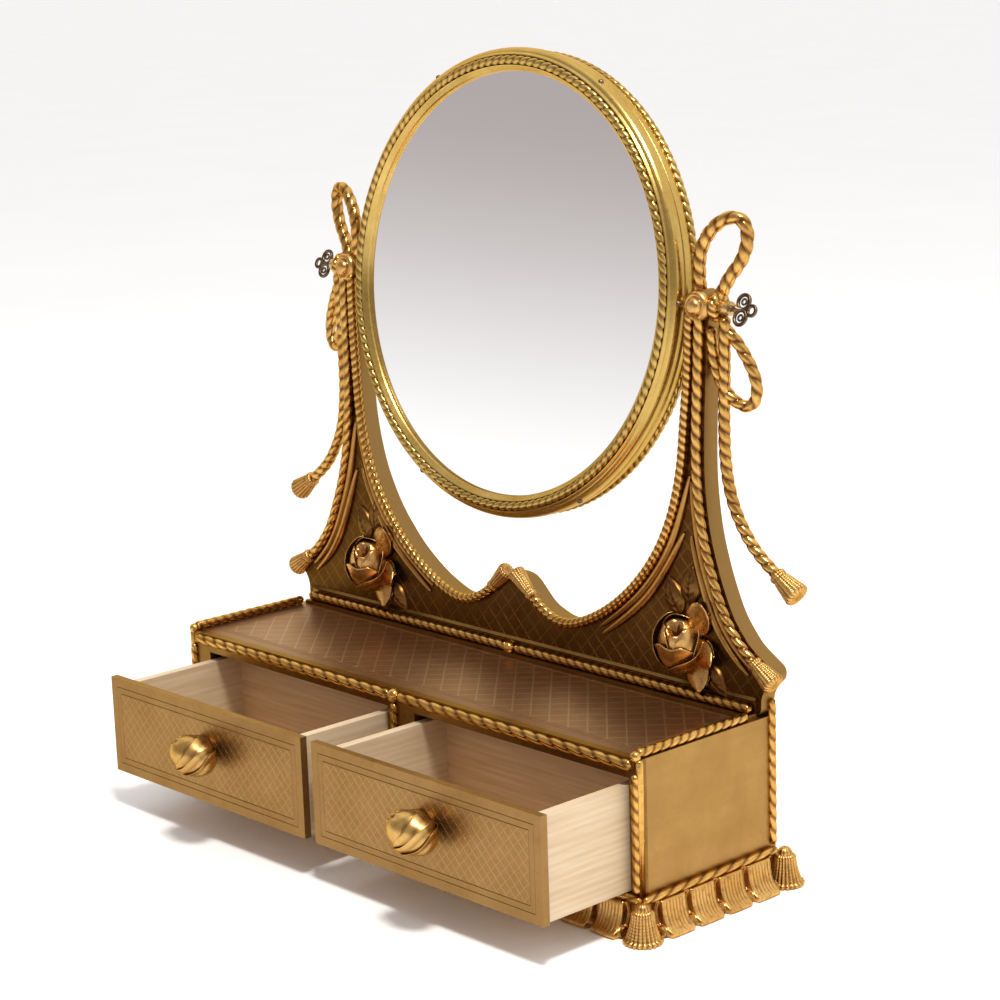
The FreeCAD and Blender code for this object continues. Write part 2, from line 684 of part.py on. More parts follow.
def make_drawer(side, sign):
    name = "drawer_%s_" + side
    face = "-case_depth / 2 - rest_gap - pulled_out"
    box_low = "plinth_rise + box_lift"
    box_high = box_low + " + box_rise"
    depth = (face, face + " + box_depth")
    x_wide = span(sign, "front_near", "front_near + front_long")
    panel = block("front_board_" + side, x_wide, (face + " - front_thick", face),
                  ("plinth_rise + front_lift", "plinth_rise + front_lift + front_rise"))
    middle = "%d * (front_near + front_long / 2)" % sign
    hole = rod("front_hole_" + side, "screw_radius", "front_thick + 2",
               (middle, face + " + 1", "plinth_rise + knob_lift"), FRONT)
    keep(cut(name % "front", panel, hole), name % "front")

    left, right = box_span(sign, "0")
    walls = [block("wall_left_" + side, (left, left + " + side_thick"), depth, (box_low, box_high)),
             block("wall_right_" + side, (right + " - side_thick", right), depth,
                   (box_low, box_high))]
    keep(group(name % "sides", walls), name % "sides")
    within = box_span(sign, "side_thick")
    floor = box_low + " + 2.5"
    keep(block(name % "back", within, (depth[1] + " - side_thick", depth[1]),
               (floor + " + bottom_thick", box_high + " - 1")), name % "back")
    keep(block(name % "bottom", within, depth, (floor, floor + " + bottom_thick")), name % "bottom")

    knob = turned("knob_turn_" + side, [
        ("0", "-6"), ("screw_radius", "-6"), ("screw_radius", "0"), ("knob_radius - 7.5", "0"),
        ("knob_radius - 7.3", "3"), ("knob_radius - 1.6", "7"), ("knob_radius", "13"),
        ("knob_radius - 3", "20"), ("knob_radius - 8", "knob_deep"), ("0", "knob_deep")])
    knob.Placement.Rotation = FreeCAD.Rotation(UP, FRONT)
    seat(knob, middle, face + " - front_thick", "plinth_rise + knob_lift")
    return knob, (middle, face, "plinth_rise + knob_lift")


def make_knob(side, knob, place):
    """The rosebud knob with its side petal, and the screw through the front."""
    middle, face, level = place
    hole = rod("knob_hole_" + side, "screw_radius", "front_thick + 14", (middle, face + " + 9", level),
               FRONT)
    inside = block("knob_clear_" + side, (middle + " - 30", middle + " + 30"),
                   (face + " - front_thick", face + " + 20"), (level + " - 30", level + " + 30"))
    tools = fuse("knob_tools_" + side, [hole, inside])
    lobe = ball("knob_lobe_" + side, "lobe_radius", (
        middle + " + 16", face + " - front_thick - lobe_radius - 0.5", level + " - 3"))
    solid = fuse("knob_solid_" + side, [knob, lobe])
    keep(cut("drawer_knob_" + side, solid, tools), "drawer_knob_" + side)
    shank = rod("screw_shank_" + side, "screw_radius", "front_thick + 5", (middle, face, level), FRONT)
    head = rod("screw_head_" + side, "screw_radius * 2", "1.6", (middle, face + " + 1.6", level), FRONT)
    keep(fuse("knob_screw_" + side, [shank, head]), "knob_screw_" + side)


# ------------------------------------------------------------ thumbscrews

def make_key(side, sign):
    """A shank with a looped bow, and a plain collar pressed on it."""
    axis = ("pivot_back", "pivot_rise")
    outward = RIGHT * sign
    shank = rod("key_shank_" + side, "shank_radius", "collar_start + collar_long - shank_tip",
                ("%d * shank_tip" % sign,) + axis, outward)
    stem = rod("key_stem_" + side, "shank_radius * 0.8", "bow_start + 4 - collar_start",
               ("%d * collar_start" % sign,) + axis, outward)
    tilt = math.radians(worth("bow_turn"))
    facing = FreeCAD.Vector(0, -math.cos(tilt), math.sin(tilt))
    loops = []
    for name, lift in (("upper", 1), ("lower", -1)):
        where = ("%d * bow_start" % sign,
                 "pivot_back + %d * bow_apart * sin(bow_turn)" % lift,
                 "pivot_rise + %d * bow_apart * cos(bow_turn)" % lift)
        loops.append(ring("key_%s_%s" % (name, side), "bow_ring", "bow_wire", where, facing))
    loops.append(ring("key_end_" + side, "3", "bow_wire", ("%d * (bow_start + 7.4)" % sign,) + axis,
                      facing))
    keep(fuse("key_" + side, [shank, stem] + loops), "key_" + side)
    around = rod("collar_round_" + side, "collar_radius", "collar_long",
                 ("%d * collar_start" % sign,) + axis, outward)
    bore = rod("collar_bore_" + side, "shank_radius", "collar_long + 2",
               ("%d * (collar_start - 1)" % sign,) + axis, outward)
    keep(cut("key_collar_" + side, around, bore), "key_collar_" + side)


# -------------------------------------------------------------- build all

make_case()
make_fringe()
make_case_ropes()
make_stand()
make_mirror()
for side, sign in SIDES:
    make_knob(side, *make_drawer(side, sign))
    make_key(side, sign)
sheet.clear("D1")
doc.recompute()

for thing in doc.Objects:
    for word in ("Invalid", "Error"):
        if word in thing.State:
            raise RuntimeError("%s is marked %s" % (thing.Name, word))

os.makedirs("parts", exist_ok=True)
for node in nodes:
    if node.Shape.isNull() or not node.Shape.isValid() or node.Shape.Volume < 1:
        raise RuntimeError("%s has no valid solid shape" % node.Label)
    node.Shape.exportStep("parts/%s.step" % node.Label)
print("%d sub-parts written" % len(nodes))
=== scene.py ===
import math
from collections import namedtuple

import bpy
import numpy as np
from mathutils import Matrix, Vector

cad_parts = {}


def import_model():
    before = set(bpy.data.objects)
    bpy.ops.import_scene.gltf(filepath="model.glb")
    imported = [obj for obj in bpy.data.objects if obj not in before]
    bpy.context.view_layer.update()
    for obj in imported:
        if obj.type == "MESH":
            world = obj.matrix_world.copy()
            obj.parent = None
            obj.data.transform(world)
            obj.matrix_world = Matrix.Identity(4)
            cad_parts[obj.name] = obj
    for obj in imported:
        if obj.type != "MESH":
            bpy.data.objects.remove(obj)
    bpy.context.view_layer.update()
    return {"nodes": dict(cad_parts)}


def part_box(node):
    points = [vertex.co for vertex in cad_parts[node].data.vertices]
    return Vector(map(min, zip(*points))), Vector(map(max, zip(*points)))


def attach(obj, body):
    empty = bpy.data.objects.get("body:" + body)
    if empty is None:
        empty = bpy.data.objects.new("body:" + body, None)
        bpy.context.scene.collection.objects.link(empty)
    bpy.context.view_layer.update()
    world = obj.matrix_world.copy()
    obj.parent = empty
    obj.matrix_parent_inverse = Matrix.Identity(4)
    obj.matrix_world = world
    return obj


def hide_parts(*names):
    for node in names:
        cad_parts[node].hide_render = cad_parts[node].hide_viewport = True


# Looks for the table-top dressing mirror. The shapes below are worked out in
# millimetres in the CAD's frame and turned into metres when a mesh is made.

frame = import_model()
NODES = frame["nodes"]
MM = 0.001
SIDES = (("left", -1), ("right", 1))


def low(node):
    """The lowest corner of a CAD piece's box, in millimetres."""
    return np.array(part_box(node)[0]) / MM


def high(node):
    """The highest corner of a CAD piece's box, in millimetres."""
    return np.array(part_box(node)[1]) / MM


def middle(node):
    """The middle of a CAD piece's box, in millimetres."""
    return (low(node) + high(node)) / 2


# ---- places from the CAD

CASE_HALF = high("front_frame")[0]
CASE_FRONT = low("front_frame")[1]
CASE_BACK = high("case_back")[1]
PLINTH_TOP = high("base_board")[2]
CASE_TOP = high("case_top")[2]
BOARD_FRONT = low("case_back")[1]
PIVOT = middle("mirror_glass")
PIVOT[1:] = middle("bow_knot_right")[1:]
RAKE = math.radians(1.5)
LEAN = math.radians(6.04)
# The mirror's frame is measured from a plane this far in front of its pivots.
AXIS_BEHIND = 5
FACING = (0.0, -1.0, 0.0)
UPWARD = (0.0, 0.0, 1.0)
STRANDS = 2
STRAIGHT_STEP = 0.9

# Routes on the right half, in X and Z, as in the CAD.
INNER_ROUTE = [
    (158.5, 343), (158, 316), (155, 284), (152.5, 252), (143.5, 219), (128, 191), (104, 165.5),
    (78, 148), (50, 137.5), (28, 145), (19, 153)]
OUTER_ROUTE = [
    (166.5, 343), (165.8, 316), (164.5, 281), (165, 248), (170, 216), (179, 189), (190, 165.5),
    (204, 149.5), (213, 143.5)]
UPPER_ROUTE = [
    (162, 352), (159, 378), (164, 395), (176, 407), (189, 408), (193.5, 397), (189, 382),
    (179, 371), (172, 356)]
LOWER_ROUTE = [
    (170.5, 343), (170.8, 331), (173, 318), (178, 307), (185, 299), (193, 295), (199, 298),
    (201, 306), (199, 316), (193, 327), (186, 337), (177, 345)]
TAIL_ROUTE = [
    (181, 350), (180.5, 316), (179.5, 288), (180, 262), (184.5, 239), (194, 221), (207, 206),
    (221, 197)]
LOOP_SWING = math.radians(16)
LOOP_HINGE = 164


# ---- mesh helpers

class Pile:
    """Collects grids of points into one mesh."""

    def __init__(self):
        self.points = []
        self.crevice = []
        self.faces = []

    def add_grid(self, points, crevice=None, wrap_rows=False, wrap_columns=False, caps=False):
        """Quads over a grid of points, wrapped round and capped where asked."""
        points = np.asarray(points, dtype=float)
        rows, columns = points.shape[:2]
        start = len(self.points)
        self.points += points.reshape(-1, 3).tolist()
        shade = np.zeros((rows, columns)) if crevice is None else np.asarray(crevice)
        self.crevice += shade.ravel().tolist()
        for i in range(rows if wrap_rows else rows - 1):
            a = start + i * columns
            b = start + ((i + 1) % rows) * columns
            for j in range(columns if wrap_columns else columns - 1):
                k = (j + 1) % columns
                self.faces.append((a + j, a + k, b + k, b + j))
        if caps:
            last = start + (rows - 1) * columns
            self.faces.append(tuple(range(start + columns - 1, start - 1, -1)))
            self.faces.append(tuple(range(last, last + columns)))

    def add_pile(self, other):
        start = len(self.points)
        self.points += list(other.points)
        self.crevice += other.crevice
        self.faces += [tuple(i + start for i in face) for face in other.faces]

    def finish(self, name, material, body="stand", smooth=True):
        """A mesh object of all that was added, riding on a CAD body."""
        mesh = bpy.data.meshes.new(name)
        mesh.from_pydata((np.asarray(self.points) * MM).tolist(), [], self.faces)
        mesh.update()
        mesh.polygons.foreach_set("use_smooth", [smooth] * len(mesh.polygons))
        # A point attribute from 0 to 1 that darkens the colour: painted shade in grooves, hollows,
        # folds and under lips, and the dark seam round the mirror's frame.
        layer = mesh.attributes.new("crevice", "FLOAT", "POINT")
        layer.data.foreach_set("value", np.asarray(self.crevice, dtype=np.float32))
        thing = bpy.data.objects.new(name, mesh)
        bpy.context.scene.collection.objects.link(thing)
        mesh.materials.append(material)
        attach(thing, body)
        return thing


def smooth_route(points, step):
    """Even steps along a quadratic spline that the points control."""
    points = [np.array(p, dtype=float) for p in points]
    middles = [points[0]] + [(a + b) / 2 for a, b in zip(points[1:-2], points[2:-1])] + [points[-1]]
    line = []
    for first, control, last in zip(middles[:-1], points[1:-1], middles[1:]):
        for t in np.linspace(0, 1, 25)[:-1]:
            line.append((1 - t) ** 2 * first + 2 * t * (1 - t) * control + t * t * last)
    line.append(middles[-1])
    line = np.array(line)
    lengths = np.r_[0, np.cumsum(np.linalg.norm(np.diff(line, axis=0), axis=1))]
    count = max(int(lengths[-1] / step), 4)
    even = np.linspace(0, lengths[-1], count)
    return np.stack([np.interp(even, lengths, line[:, k]) for k in range(line.shape[1])], axis=1)


def lift(route, y, sign=1):
    """A route in X and Z as points in space at depth y, mirrored for the left."""
    return np.stack([route[:, 0] * sign, np.full(len(route), y), route[:, 1]], axis=1)


def rake(points):
    """Lean points back with the stand, about the top rear edge of the case."""
    points = np.array(points, dtype=float)
    y = points[..., 1] - BOARD_FRONT
    z = points[..., 2] - CASE_TOP
    points[..., 1] = BOARD_FRONT + y * math.cos(RAKE) + z * math.sin(RAKE)
    points[..., 2] = CASE_TOP - y * math.sin(RAKE) + z * math.cos(RAKE)
    return points


def swing(points, sign):
    """Turn a bow's loop so that its far end goes back."""
    points = np.array(points, dtype=float)
    x = points[..., 0] - sign * LOOP_HINGE
    y = points[..., 1] - PIVOT[1]
    turn = sign * LOOP_SWING
    points[..., 0] = sign * LOOP_HINGE + x * math.cos(turn) - y * math.sin(turn)
    points[..., 1] = PIVOT[1] + x * math.sin(turn) + y * math.cos(turn)
    return points


def tilt(points):
    """From the mirror's own frame, +Z out of the glass, to the CAD's frame."""
    points = np.array(points, dtype=float)
    x, y, z = points[..., 0], points[..., 1], points[..., 2]
    out = np.empty_like(points)
    out[..., 0] = PIVOT[0] + x
    out[..., 1] = PIVOT[1] + y * math.sin(LEAN) - z * math.cos(LEAN)
    out[..., 2] = PIVOT[2] + y * math.cos(LEAN) + z * math.sin(LEAN)
    return out


def twisted(pile, centre, side, radius, pitch, hand=1, closed=False, groove=0.3, around=20,
            flat_at=None):
    """A rope of twisted strands along a line of centres, one bead to each pitch.

    side is the direction at each centre that, with the tangent, sets the
    section. groove is the depth between the strands as a share of the radius,
    and flat_at keeps points from going deeper than that Y.
    """
    centre = np.asarray(centre, dtype=float)
    ahead = np.roll(centre, -1, axis=0) - np.roll(centre, 1, axis=0)
    if not closed:
        ahead[0] = centre[1] - centre[0]
        ahead[-1] = centre[-1] - centre[-2]
    ahead /= np.linalg.norm(ahead, axis=1)[:, None]
    side = np.broadcast_to(np.asarray(side, dtype=float), centre.shape)
    across = np.cross(ahead, side)
    across /= np.linalg.norm(across, axis=1)[:, None]
    upward = np.cross(across, ahead)
    steps = np.linalg.norm(np.diff(centre, axis=0), axis=1)
    travel = np.r_[0, np.cumsum(steps)]
    if closed:
        whole = travel[-1] + np.linalg.norm(centre[0] - centre[-1])
        turns = round(whole / pitch) / STRANDS
        turn_rate = 2 * math.pi * turns / whole
    else:
        turn_rate = 2 * math.pi / (pitch * STRANDS)
    angle = np.linspace(0, 2 * math.pi, around, endpoint=False)
    twist = angle[None, :] - hand * turn_rate * travel[:, None]
    bulge = np.abs(np.cos(STRANDS * twist / 2)) ** 0.5
    size = np.full(len(centre), float(radius))
    if not closed:
        from_end = np.minimum(travel, travel[-1] - travel) / radius
        size *= np.sqrt(1 - (1 - np.clip(from_end, 0.02, 1)) ** 2)
    reach = size[:, None] * (1 - groove * (1 - bulge))
    outward = (np.cos(angle)[None, :, None] * across[:, None, :]
               + np.sin(angle)[None, :, None] * upward[:, None, :])
    points = centre[:, None, :] + reach[..., None] * outward
    if flat_at is not None:
        points[..., 1] = np.minimum(points[..., 1], flat_at)
    # Painted shade in the grooves between the strands.
    crevice = np.clip((1 - bulge) * 2.1 - 0.15, 0, 1)
    pile.add_grid(points, crevice, wrap_rows=closed, wrap_columns=True, caps=not closed)


def rod(pile, start, end, side, radius, pitch, hand=1, groove=0.25):
    """A straight rope, as twisted."""
    start, end = np.array(start, dtype=float), np.array(end, dtype=float)
    count = max(int(np.linalg.norm(end - start) / STRAIGHT_STEP), 4)
    line = start + (end - start) * np.linspace(0, 1, count)[:, None]
    twisted(pile, line, side, radius, pitch, hand=hand, groove=groove)


def circle_line(radius, off, count):
    """A ring about the middle of the glass, as points in the CAD's frame."""
    angle = np.linspace(0, 2 * math.pi, count, endpoint=False)
    ring = np.stack([radius * np.cos(angle), radius * np.sin(angle),
                     np.full(count, AXIS_BEHIND + off)], axis=1)
    return tilt(ring)


def lathe(pile, profile, axis_start, axis, around=48, ripple=None):
    """Turn a profile of (radius, height) about an axis, with an optional ripple."""
    axis = np.array(axis, dtype=float)
    axis /= np.linalg.norm(axis)
    helper = np.array([0, 0, 1.0]) if abs(axis[2]) < 0.9 else np.array([0, 1.0, 0])
    first = np.cross(axis, helper)
    first /= np.linalg.norm(first)
    second = np.cross(axis, first)
    angle = np.linspace(0, 2 * math.pi, around, endpoint=False)
    spokes = np.cos(angle)[:, None] * first + np.sin(angle)[:, None] * second
    change, dark = ripple(angle) if ripple else (0.0, np.zeros(around))
    rows = []
    for radius, height in profile:
        r = np.full(around, float(radius)) * (1 + change)
        rows.append(np.array(axis_start) + axis * height + r[:, None] * spokes)
    pile.add_grid(rows, [dark] * len(profile), wrap_columns=True, caps=True)


# ---- materials

LEAF_METAL = 0.97
LEAF_GRAIN = 0.00012
STRIPE_SHARE = 0.16
LINE_SHARE = 0.05
# An incised lattice. sides colours the faces that do not look forwards; where
# it is None, the "lattice" attribute says where the lines show.
Lattice = namedtuple("Lattice", "spacing plane ink strength sides")


def new_material(name):
    material = bpy.data.materials.new(name)
    material.use_nodes = True
    tree = material.node_tree
    return material, tree, tree.nodes["Principled BSDF"]


def put(tree, socket, value):
    """Link a socket, or set it; a colour may leave out its alpha."""
    if isinstance(value, bpy.types.NodeSocket):
        tree.links.new(value, socket)
    elif isinstance(value, tuple):
        socket.default_value = (*value, 1)[:len(socket.default_value)]
    else:
        socket.default_value = value


def node(tree, kind, **settings):
    """A new node, with its inputs and properties put in place by name."""
    made = tree.nodes.new(kind)
    for key, value in settings.items():
        if key in made.inputs:
            put(tree, made.inputs[key], value)
        else:
            setattr(made, key, value)
    return made


def place_of(tree, kind="Object"):
    """Texture coordinates; those of the object stay with the piece."""
    return node(tree, "ShaderNodeTexCoord").outputs[kind]


def attribute(tree, name):
    return node(tree, "ShaderNodeAttribute", attribute_name=name).outputs["Fac"]


def noise(tree, where, scale, detail=4.0, rough=0.6):
    return node(tree, "ShaderNodeTexNoise", Vector=where, Scale=scale, Detail=detail,
                Roughness=rough).outputs["Fac"]


def ramp(tree, factor, stops):
    made = node(tree, "ShaderNodeValToRGB", Fac=factor)
    line = made.color_ramp.elements
    while len(line) < len(stops):
        line.new(0.5)
    for element, (position, colour) in zip(line, stops):
        element.position = position
        element.color = (*colour, 1)
    return made.outputs["Color"]


def mix(tree, factor, first, second, kind="MIX"):
    made = node(tree, "ShaderNodeMix", data_type="RGBA", blend_type=kind)
    for socket, value in ((made.inputs["Factor"], factor), (made.inputs["A"], first),
                          (made.inputs["B"], second)):
        put(tree, socket, value)
    return next(out for out in made.outputs if out.type == "RGBA")


def maths(tree, kind, first, second=0.0, clamp=False):
    made = node(tree, "ShaderNodeMath", operation=kind, use_clamp=clamp)
    put(tree, made.inputs[0], first)
    put(tree, made.inputs[1], second)
    return made.outputs[0]


def axes(tree, vector):
    """The X, Y and Z of a vector."""
    return node(tree, "ShaderNodeSeparateXYZ", Vector=vector).outputs


def stretched(tree, where, scale):
    return node(tree, "ShaderNodeMapping", Vector=where, Scale=scale).outputs[0]


def between(tree, value, start, end):
    """0 at start, 1 at end and a soft step between them."""
    return node(tree, "ShaderNodeMapRange", interpolation_type="SMOOTHSTEP", Value=value,
                **{"From Min": start, "From Max": end}).outputs[0]


def coat(tree, shader, colour, rough, metallic=0.0):
    for name, value in (("Base Color", colour), ("Roughness", rough), ("Metallic", metallic)):
        put(tree, shader.inputs[name], value)


def bump(tree, shader, height, depth, strength):
    made = node(tree, "ShaderNodeBump", Strength=strength, Distance=depth, Height=height)
    tree.links.new(made.outputs["Normal"], shader.inputs["Normal"])


def gilt(name, light, deep, ground_and_shade, rough, worn, lattice=None, streaks=0.0, stripes=0.0,
         edge=(1.0, 0.74, 0.44)):
    """Gold leaf: patchy colour, darkened in its hollows by painted shade and at seams, rubbed to
    the ground in places.

    light and deep are the leaf's colours, and the third colour is what shows through where the leaf
    is rubbed and also the colour of its painted shade.
    rough is the range of roughness, worn how much is rubbed, streaks and
    stripes the strength of long veins and the spacing of fine lines, and edge
    the tint of grazing reflections.
    """
    material, tree, shader = new_material(name)
    where = place_of(tree)
    broad = noise(tree, where, 28, 5)
    fine = noise(tree, where, 260, 6, 0.7)
    colour = mix(tree, ramp(tree, broad, ((0.3, (0, 0, 0)), (0.7, (1, 1, 1)))), deep, light)
    specks = ramp(tree, fine, ((0.34, (1, 1, 1)), (0.5, (0, 0, 0))))
    colour = mix(tree, maths(tree, "MULTIPLY", specks, worn), colour, ground_and_shade)
    if stripes:
        line = maths(tree, "PINGPONG", axes(tree, where)["Y"], stripes / 2)
        line = maths(tree, "LESS_THAN", line, stripes * STRIPE_SHARE)
        colour = mix(tree, maths(tree, "MULTIPLY", line, 0.35), colour, deep)
    if streaks:
        veins = noise(tree, stretched(tree, where, (30, 3, 30)), 2.4, 4)
        veins = ramp(tree, veins, ((0.42, (0, 0, 0)), (0.62, (1, 1, 1))))
        colour = mix(tree, maths(tree, "MULTIPLY", veins, streaks), colour, deep)
    # Painted shade in the hollows, and the dark seams, mix the colour towards the ground colour.
    dark = attribute(tree, "crevice")
    colour = mix(tree, maths(tree, "MULTIPLY", dark, 0.85, True), colour, ground_and_shade)
    height = fine
    if lattice is not None:
        lines = crosshatch(tree, where, lattice.spacing, lattice.plane)
        if lattice.sides is None:
            mask = attribute(tree, "lattice")
        else:
            mask = facing_forward(tree)
        lines = maths(tree, "MULTIPLY", lines, mask)
        colour = mix(tree, maths(tree, "MULTIPLY", lines, lattice.strength), colour, lattice.ink)
        height = maths(tree, "SUBTRACT", fine, maths(tree, "MULTIPLY", lines, 1.6))
        if lattice.sides is not None:
            colour = mix(tree, mask, lattice.sides, colour)
    shader.inputs["Specular Tint"].default_value = (*edge, 1)
    roughness = node(tree, "ShaderNodeMapRange", Value=fine,
                     **{"To Min": rough[0], "To Max": rough[1]})
    coat(tree, shader, colour, roughness.outputs["Result"], LEAF_METAL)
    bump(tree, shader, height, LEAF_GRAIN, 0.8)
    return material


def facing_forward(tree):
    """1 on faces that look towards the front of their piece, else 0."""
    return maths(tree, "LESS_THAN", axes(tree, place_of(tree, "Normal"))["Y"], -0.9)


def crosshatch(tree, where, spacing, plane):
    """Two sets of thin diagonal lines over a plane, 1 on a line."""
    across, along = (axes(tree, where)[axis] for axis in plane)
    lines = []
    for kind in ("ADD", "SUBTRACT"):
        slant = maths(tree, kind, across, along)
        wave = maths(tree, "PINGPONG", slant, spacing / 2)
        lines.append(maths(tree, "LESS_THAN", wave, spacing * LINE_SHARE))
    return maths(tree, "MAXIMUM", *lines)


def timber(name, pale, deep, stretch):
    """Pale bare wood with fine long grain."""
    material, tree, shader = new_material(name)
    scaled = stretched(tree, place_of(tree), stretch)
    grain = noise(tree, scaled, 9, 6, 0.6)
    bands = node(tree, "ShaderNodeTexWave", wave_type="BANDS", bands_direction="Z", Scale=3.0,
                 Distortion=5.0, Detail=3.0, Vector=scaled)
    colour = mix(tree, ramp(tree, grain, ((0.35, (0, 0, 0)), (0.68, (1, 1, 1)))), pale, deep)
    shade = ramp(tree, bands.outputs["Fac"], ((0.2, (0.9, 0.88, 0.84)), (0.9, (1, 1, 1))))
    colour = mix(tree, 0.6, colour, shade, "MULTIPLY")
    coat(tree, shader, colour, 0.55)
    bump(tree, shader, grain, 0.0001, 0.5)
    return material


def looking_glass(name):
    """Silvered glass, a little uneven."""
    material, tree, shader = new_material(name)
    cloud = noise(tree, place_of(tree), 7, 3)
    colour = ramp(tree, cloud, ((0.3, (0.965, 0.96, 0.96)), (0.7, (0.98, 0.975, 0.975))))
    coat(tree, shader, colour, 0.015, 1.0)
    return material


def metal(name, light, deep, rough):
    """Plain cast or turned metal, darkened by painted shade in its hollows."""
    material, tree, shader = new_material(name)
    where = place_of(tree)
    patches = noise(tree, where, 190, 5)
    dark = attribute(tree, "crevice")
    colour = mix(tree, ramp(tree, patches, ((0.35, (0, 0, 0)), (0.65, (1, 1, 1)))), light, deep)
    colour = mix(tree, dark, colour, tuple(0.35 * v for v in deep))
    coat(tree, shader, colour, rough, 0.95)
    bump(tree, shader, patches, 0.00008, 0.6)
    return material


# The red-brown ground under the leaf, shown where it is rubbed, and also the colour of the painted
# shade in the hollows.
GROUND_AND_SHADE = (0.12, 0.03, 0.010)
CARVED = gilt("carved_gilt", (0.76, 0.47, 0.155), (0.52, 0.27, 0.07), GROUND_AND_SHADE, (0.22, 0.40), 0.5)
ROSE = gilt("rose_gilt", (0.66, 0.40, 0.14), (0.48, 0.26, 0.08), GROUND_AND_SHADE, (0.20, 0.36), 0.4)
BRIGHT = gilt("bright_gilt", (0.66, 0.42, 0.14), (0.50, 0.29, 0.085), GROUND_AND_SHADE, (0.24, 0.40), 0.25)
ROPE = gilt("rope_gilt", (0.72, 0.44, 0.125), (0.50, 0.26, 0.06), GROUND_AND_SHADE, (0.14, 0.28), 0.35)
RIB = gilt("rib_gilt", (0.48, 0.27, 0.075), (0.33, 0.16, 0.04), GROUND_AND_SHADE, (0.22, 0.38), 0.3)
DARK = gilt("leaf_gilt", (0.22, 0.11, 0.03), (0.14, 0.06, 0.015), (0.05, 0.015, 0.006),
            (0.26, 0.44), 0.4)
EDGE = gilt("rail_gilt", (0.27, 0.15, 0.042), (0.18, 0.09, 0.024), (0.09, 0.03, 0.01),
            (0.26, 0.42), 0.35)
PANEL = gilt("panel_gilt", (0.40, 0.235, 0.078), (0.31, 0.172, 0.05), (0.17, 0.08, 0.025),
             (0.30, 0.44), 0.14, streaks=0.4)
FACE = gilt("drawer_gilt", (0.32, 0.19, 0.073), (0.26, 0.148, 0.052), (0.13, 0.06, 0.02),
            (0.34, 0.48), 0.2, lattice=Lattice(0.0078, ("X", "Z"), (0.46, 0.31, 0.14), 0.4, None))
TOP = gilt("top_gilt", (0.33, 0.18, 0.085), (0.25, 0.125, 0.055), (0.12, 0.045, 0.018),
           (0.30, 0.46), 0.3, lattice=Lattice(0.0165, ("X", "Y"), (0.46, 0.30, 0.15), 0.6, None),
           stripes=0.0021, edge=(1.0, 0.86, 0.68))
BOARD = gilt("board_gilt", (0.115, 0.050, 0.011), (0.075, 0.029, 0.006), (0.04, 0.012, 0.004),
             (0.32, 0.50), 0.4,
             lattice=Lattice(0.0125, ("X", "Z"), (0.18, 0.095, 0.022), 0.5, (0.27, 0.155, 0.05)))
BRASSY = gilt("mirror_gilt", (0.585, 0.405, 0.125), (0.43, 0.275, 0.07), (0.20, 0.10, 0.03),
              (0.18, 0.32), 0.16)
TIMBER = timber("bare_wood", (0.64, 0.51, 0.345), (0.55, 0.40, 0.24), (26, 1.6, 26))
TIMBER_LONG = timber("bare_wood_long", (0.72, 0.52, 0.33), (0.57, 0.375, 0.215), (1.6, 28, 28))
GLASS = looking_glass("silvered_glass")
BRASS = metal("brass_fittings", (0.72, 0.52, 0.22), (0.50, 0.33, 0.12), 0.32)
BRONZE = metal("bronze_key", (0.22, 0.15, 0.085), (0.10, 0.06, 0.03), 0.38)


def paint_cad():
    """Materials for the CAD nodes that stay as they are."""
    finishes = {
        PANEL: ("base_board", "plinth_frame", "side_panel_left", "side_panel_right", "case_back"),
        EDGE: ("front_frame", "drawer_divider", "foot_moulding"),
        BOARD: ("stand_board",), GLASS: ("mirror_glass",),
        TIMBER: ("drawer_sides_left", "drawer_sides_right"),
        TIMBER_LONG: ("mirror_backing", "drawer_back_left", "drawer_back_right",
                      "drawer_bottom_left", "drawer_bottom_right"),
        BRASS: ("pivot_bushes", "key_collar_left", "key_collar_right", "knob_screw_left",
                "knob_screw_right"),
        BRONZE: ("frame_screws",),
    }
    for material, names in finishes.items():
        for name in names:
            mesh = NODES[name].data
            mesh.materials.clear()
            mesh.materials.append(material)


# ---- ropes

PLINTH_ROPE = 2.6
PLINTH_PITCH = 13
RAIL_RISE = 79
STAND_ROPE = 3.3
ROPE_LIFT = 2.3
TAIL_BEHIND = 11
ROPE_STEP = 0.7


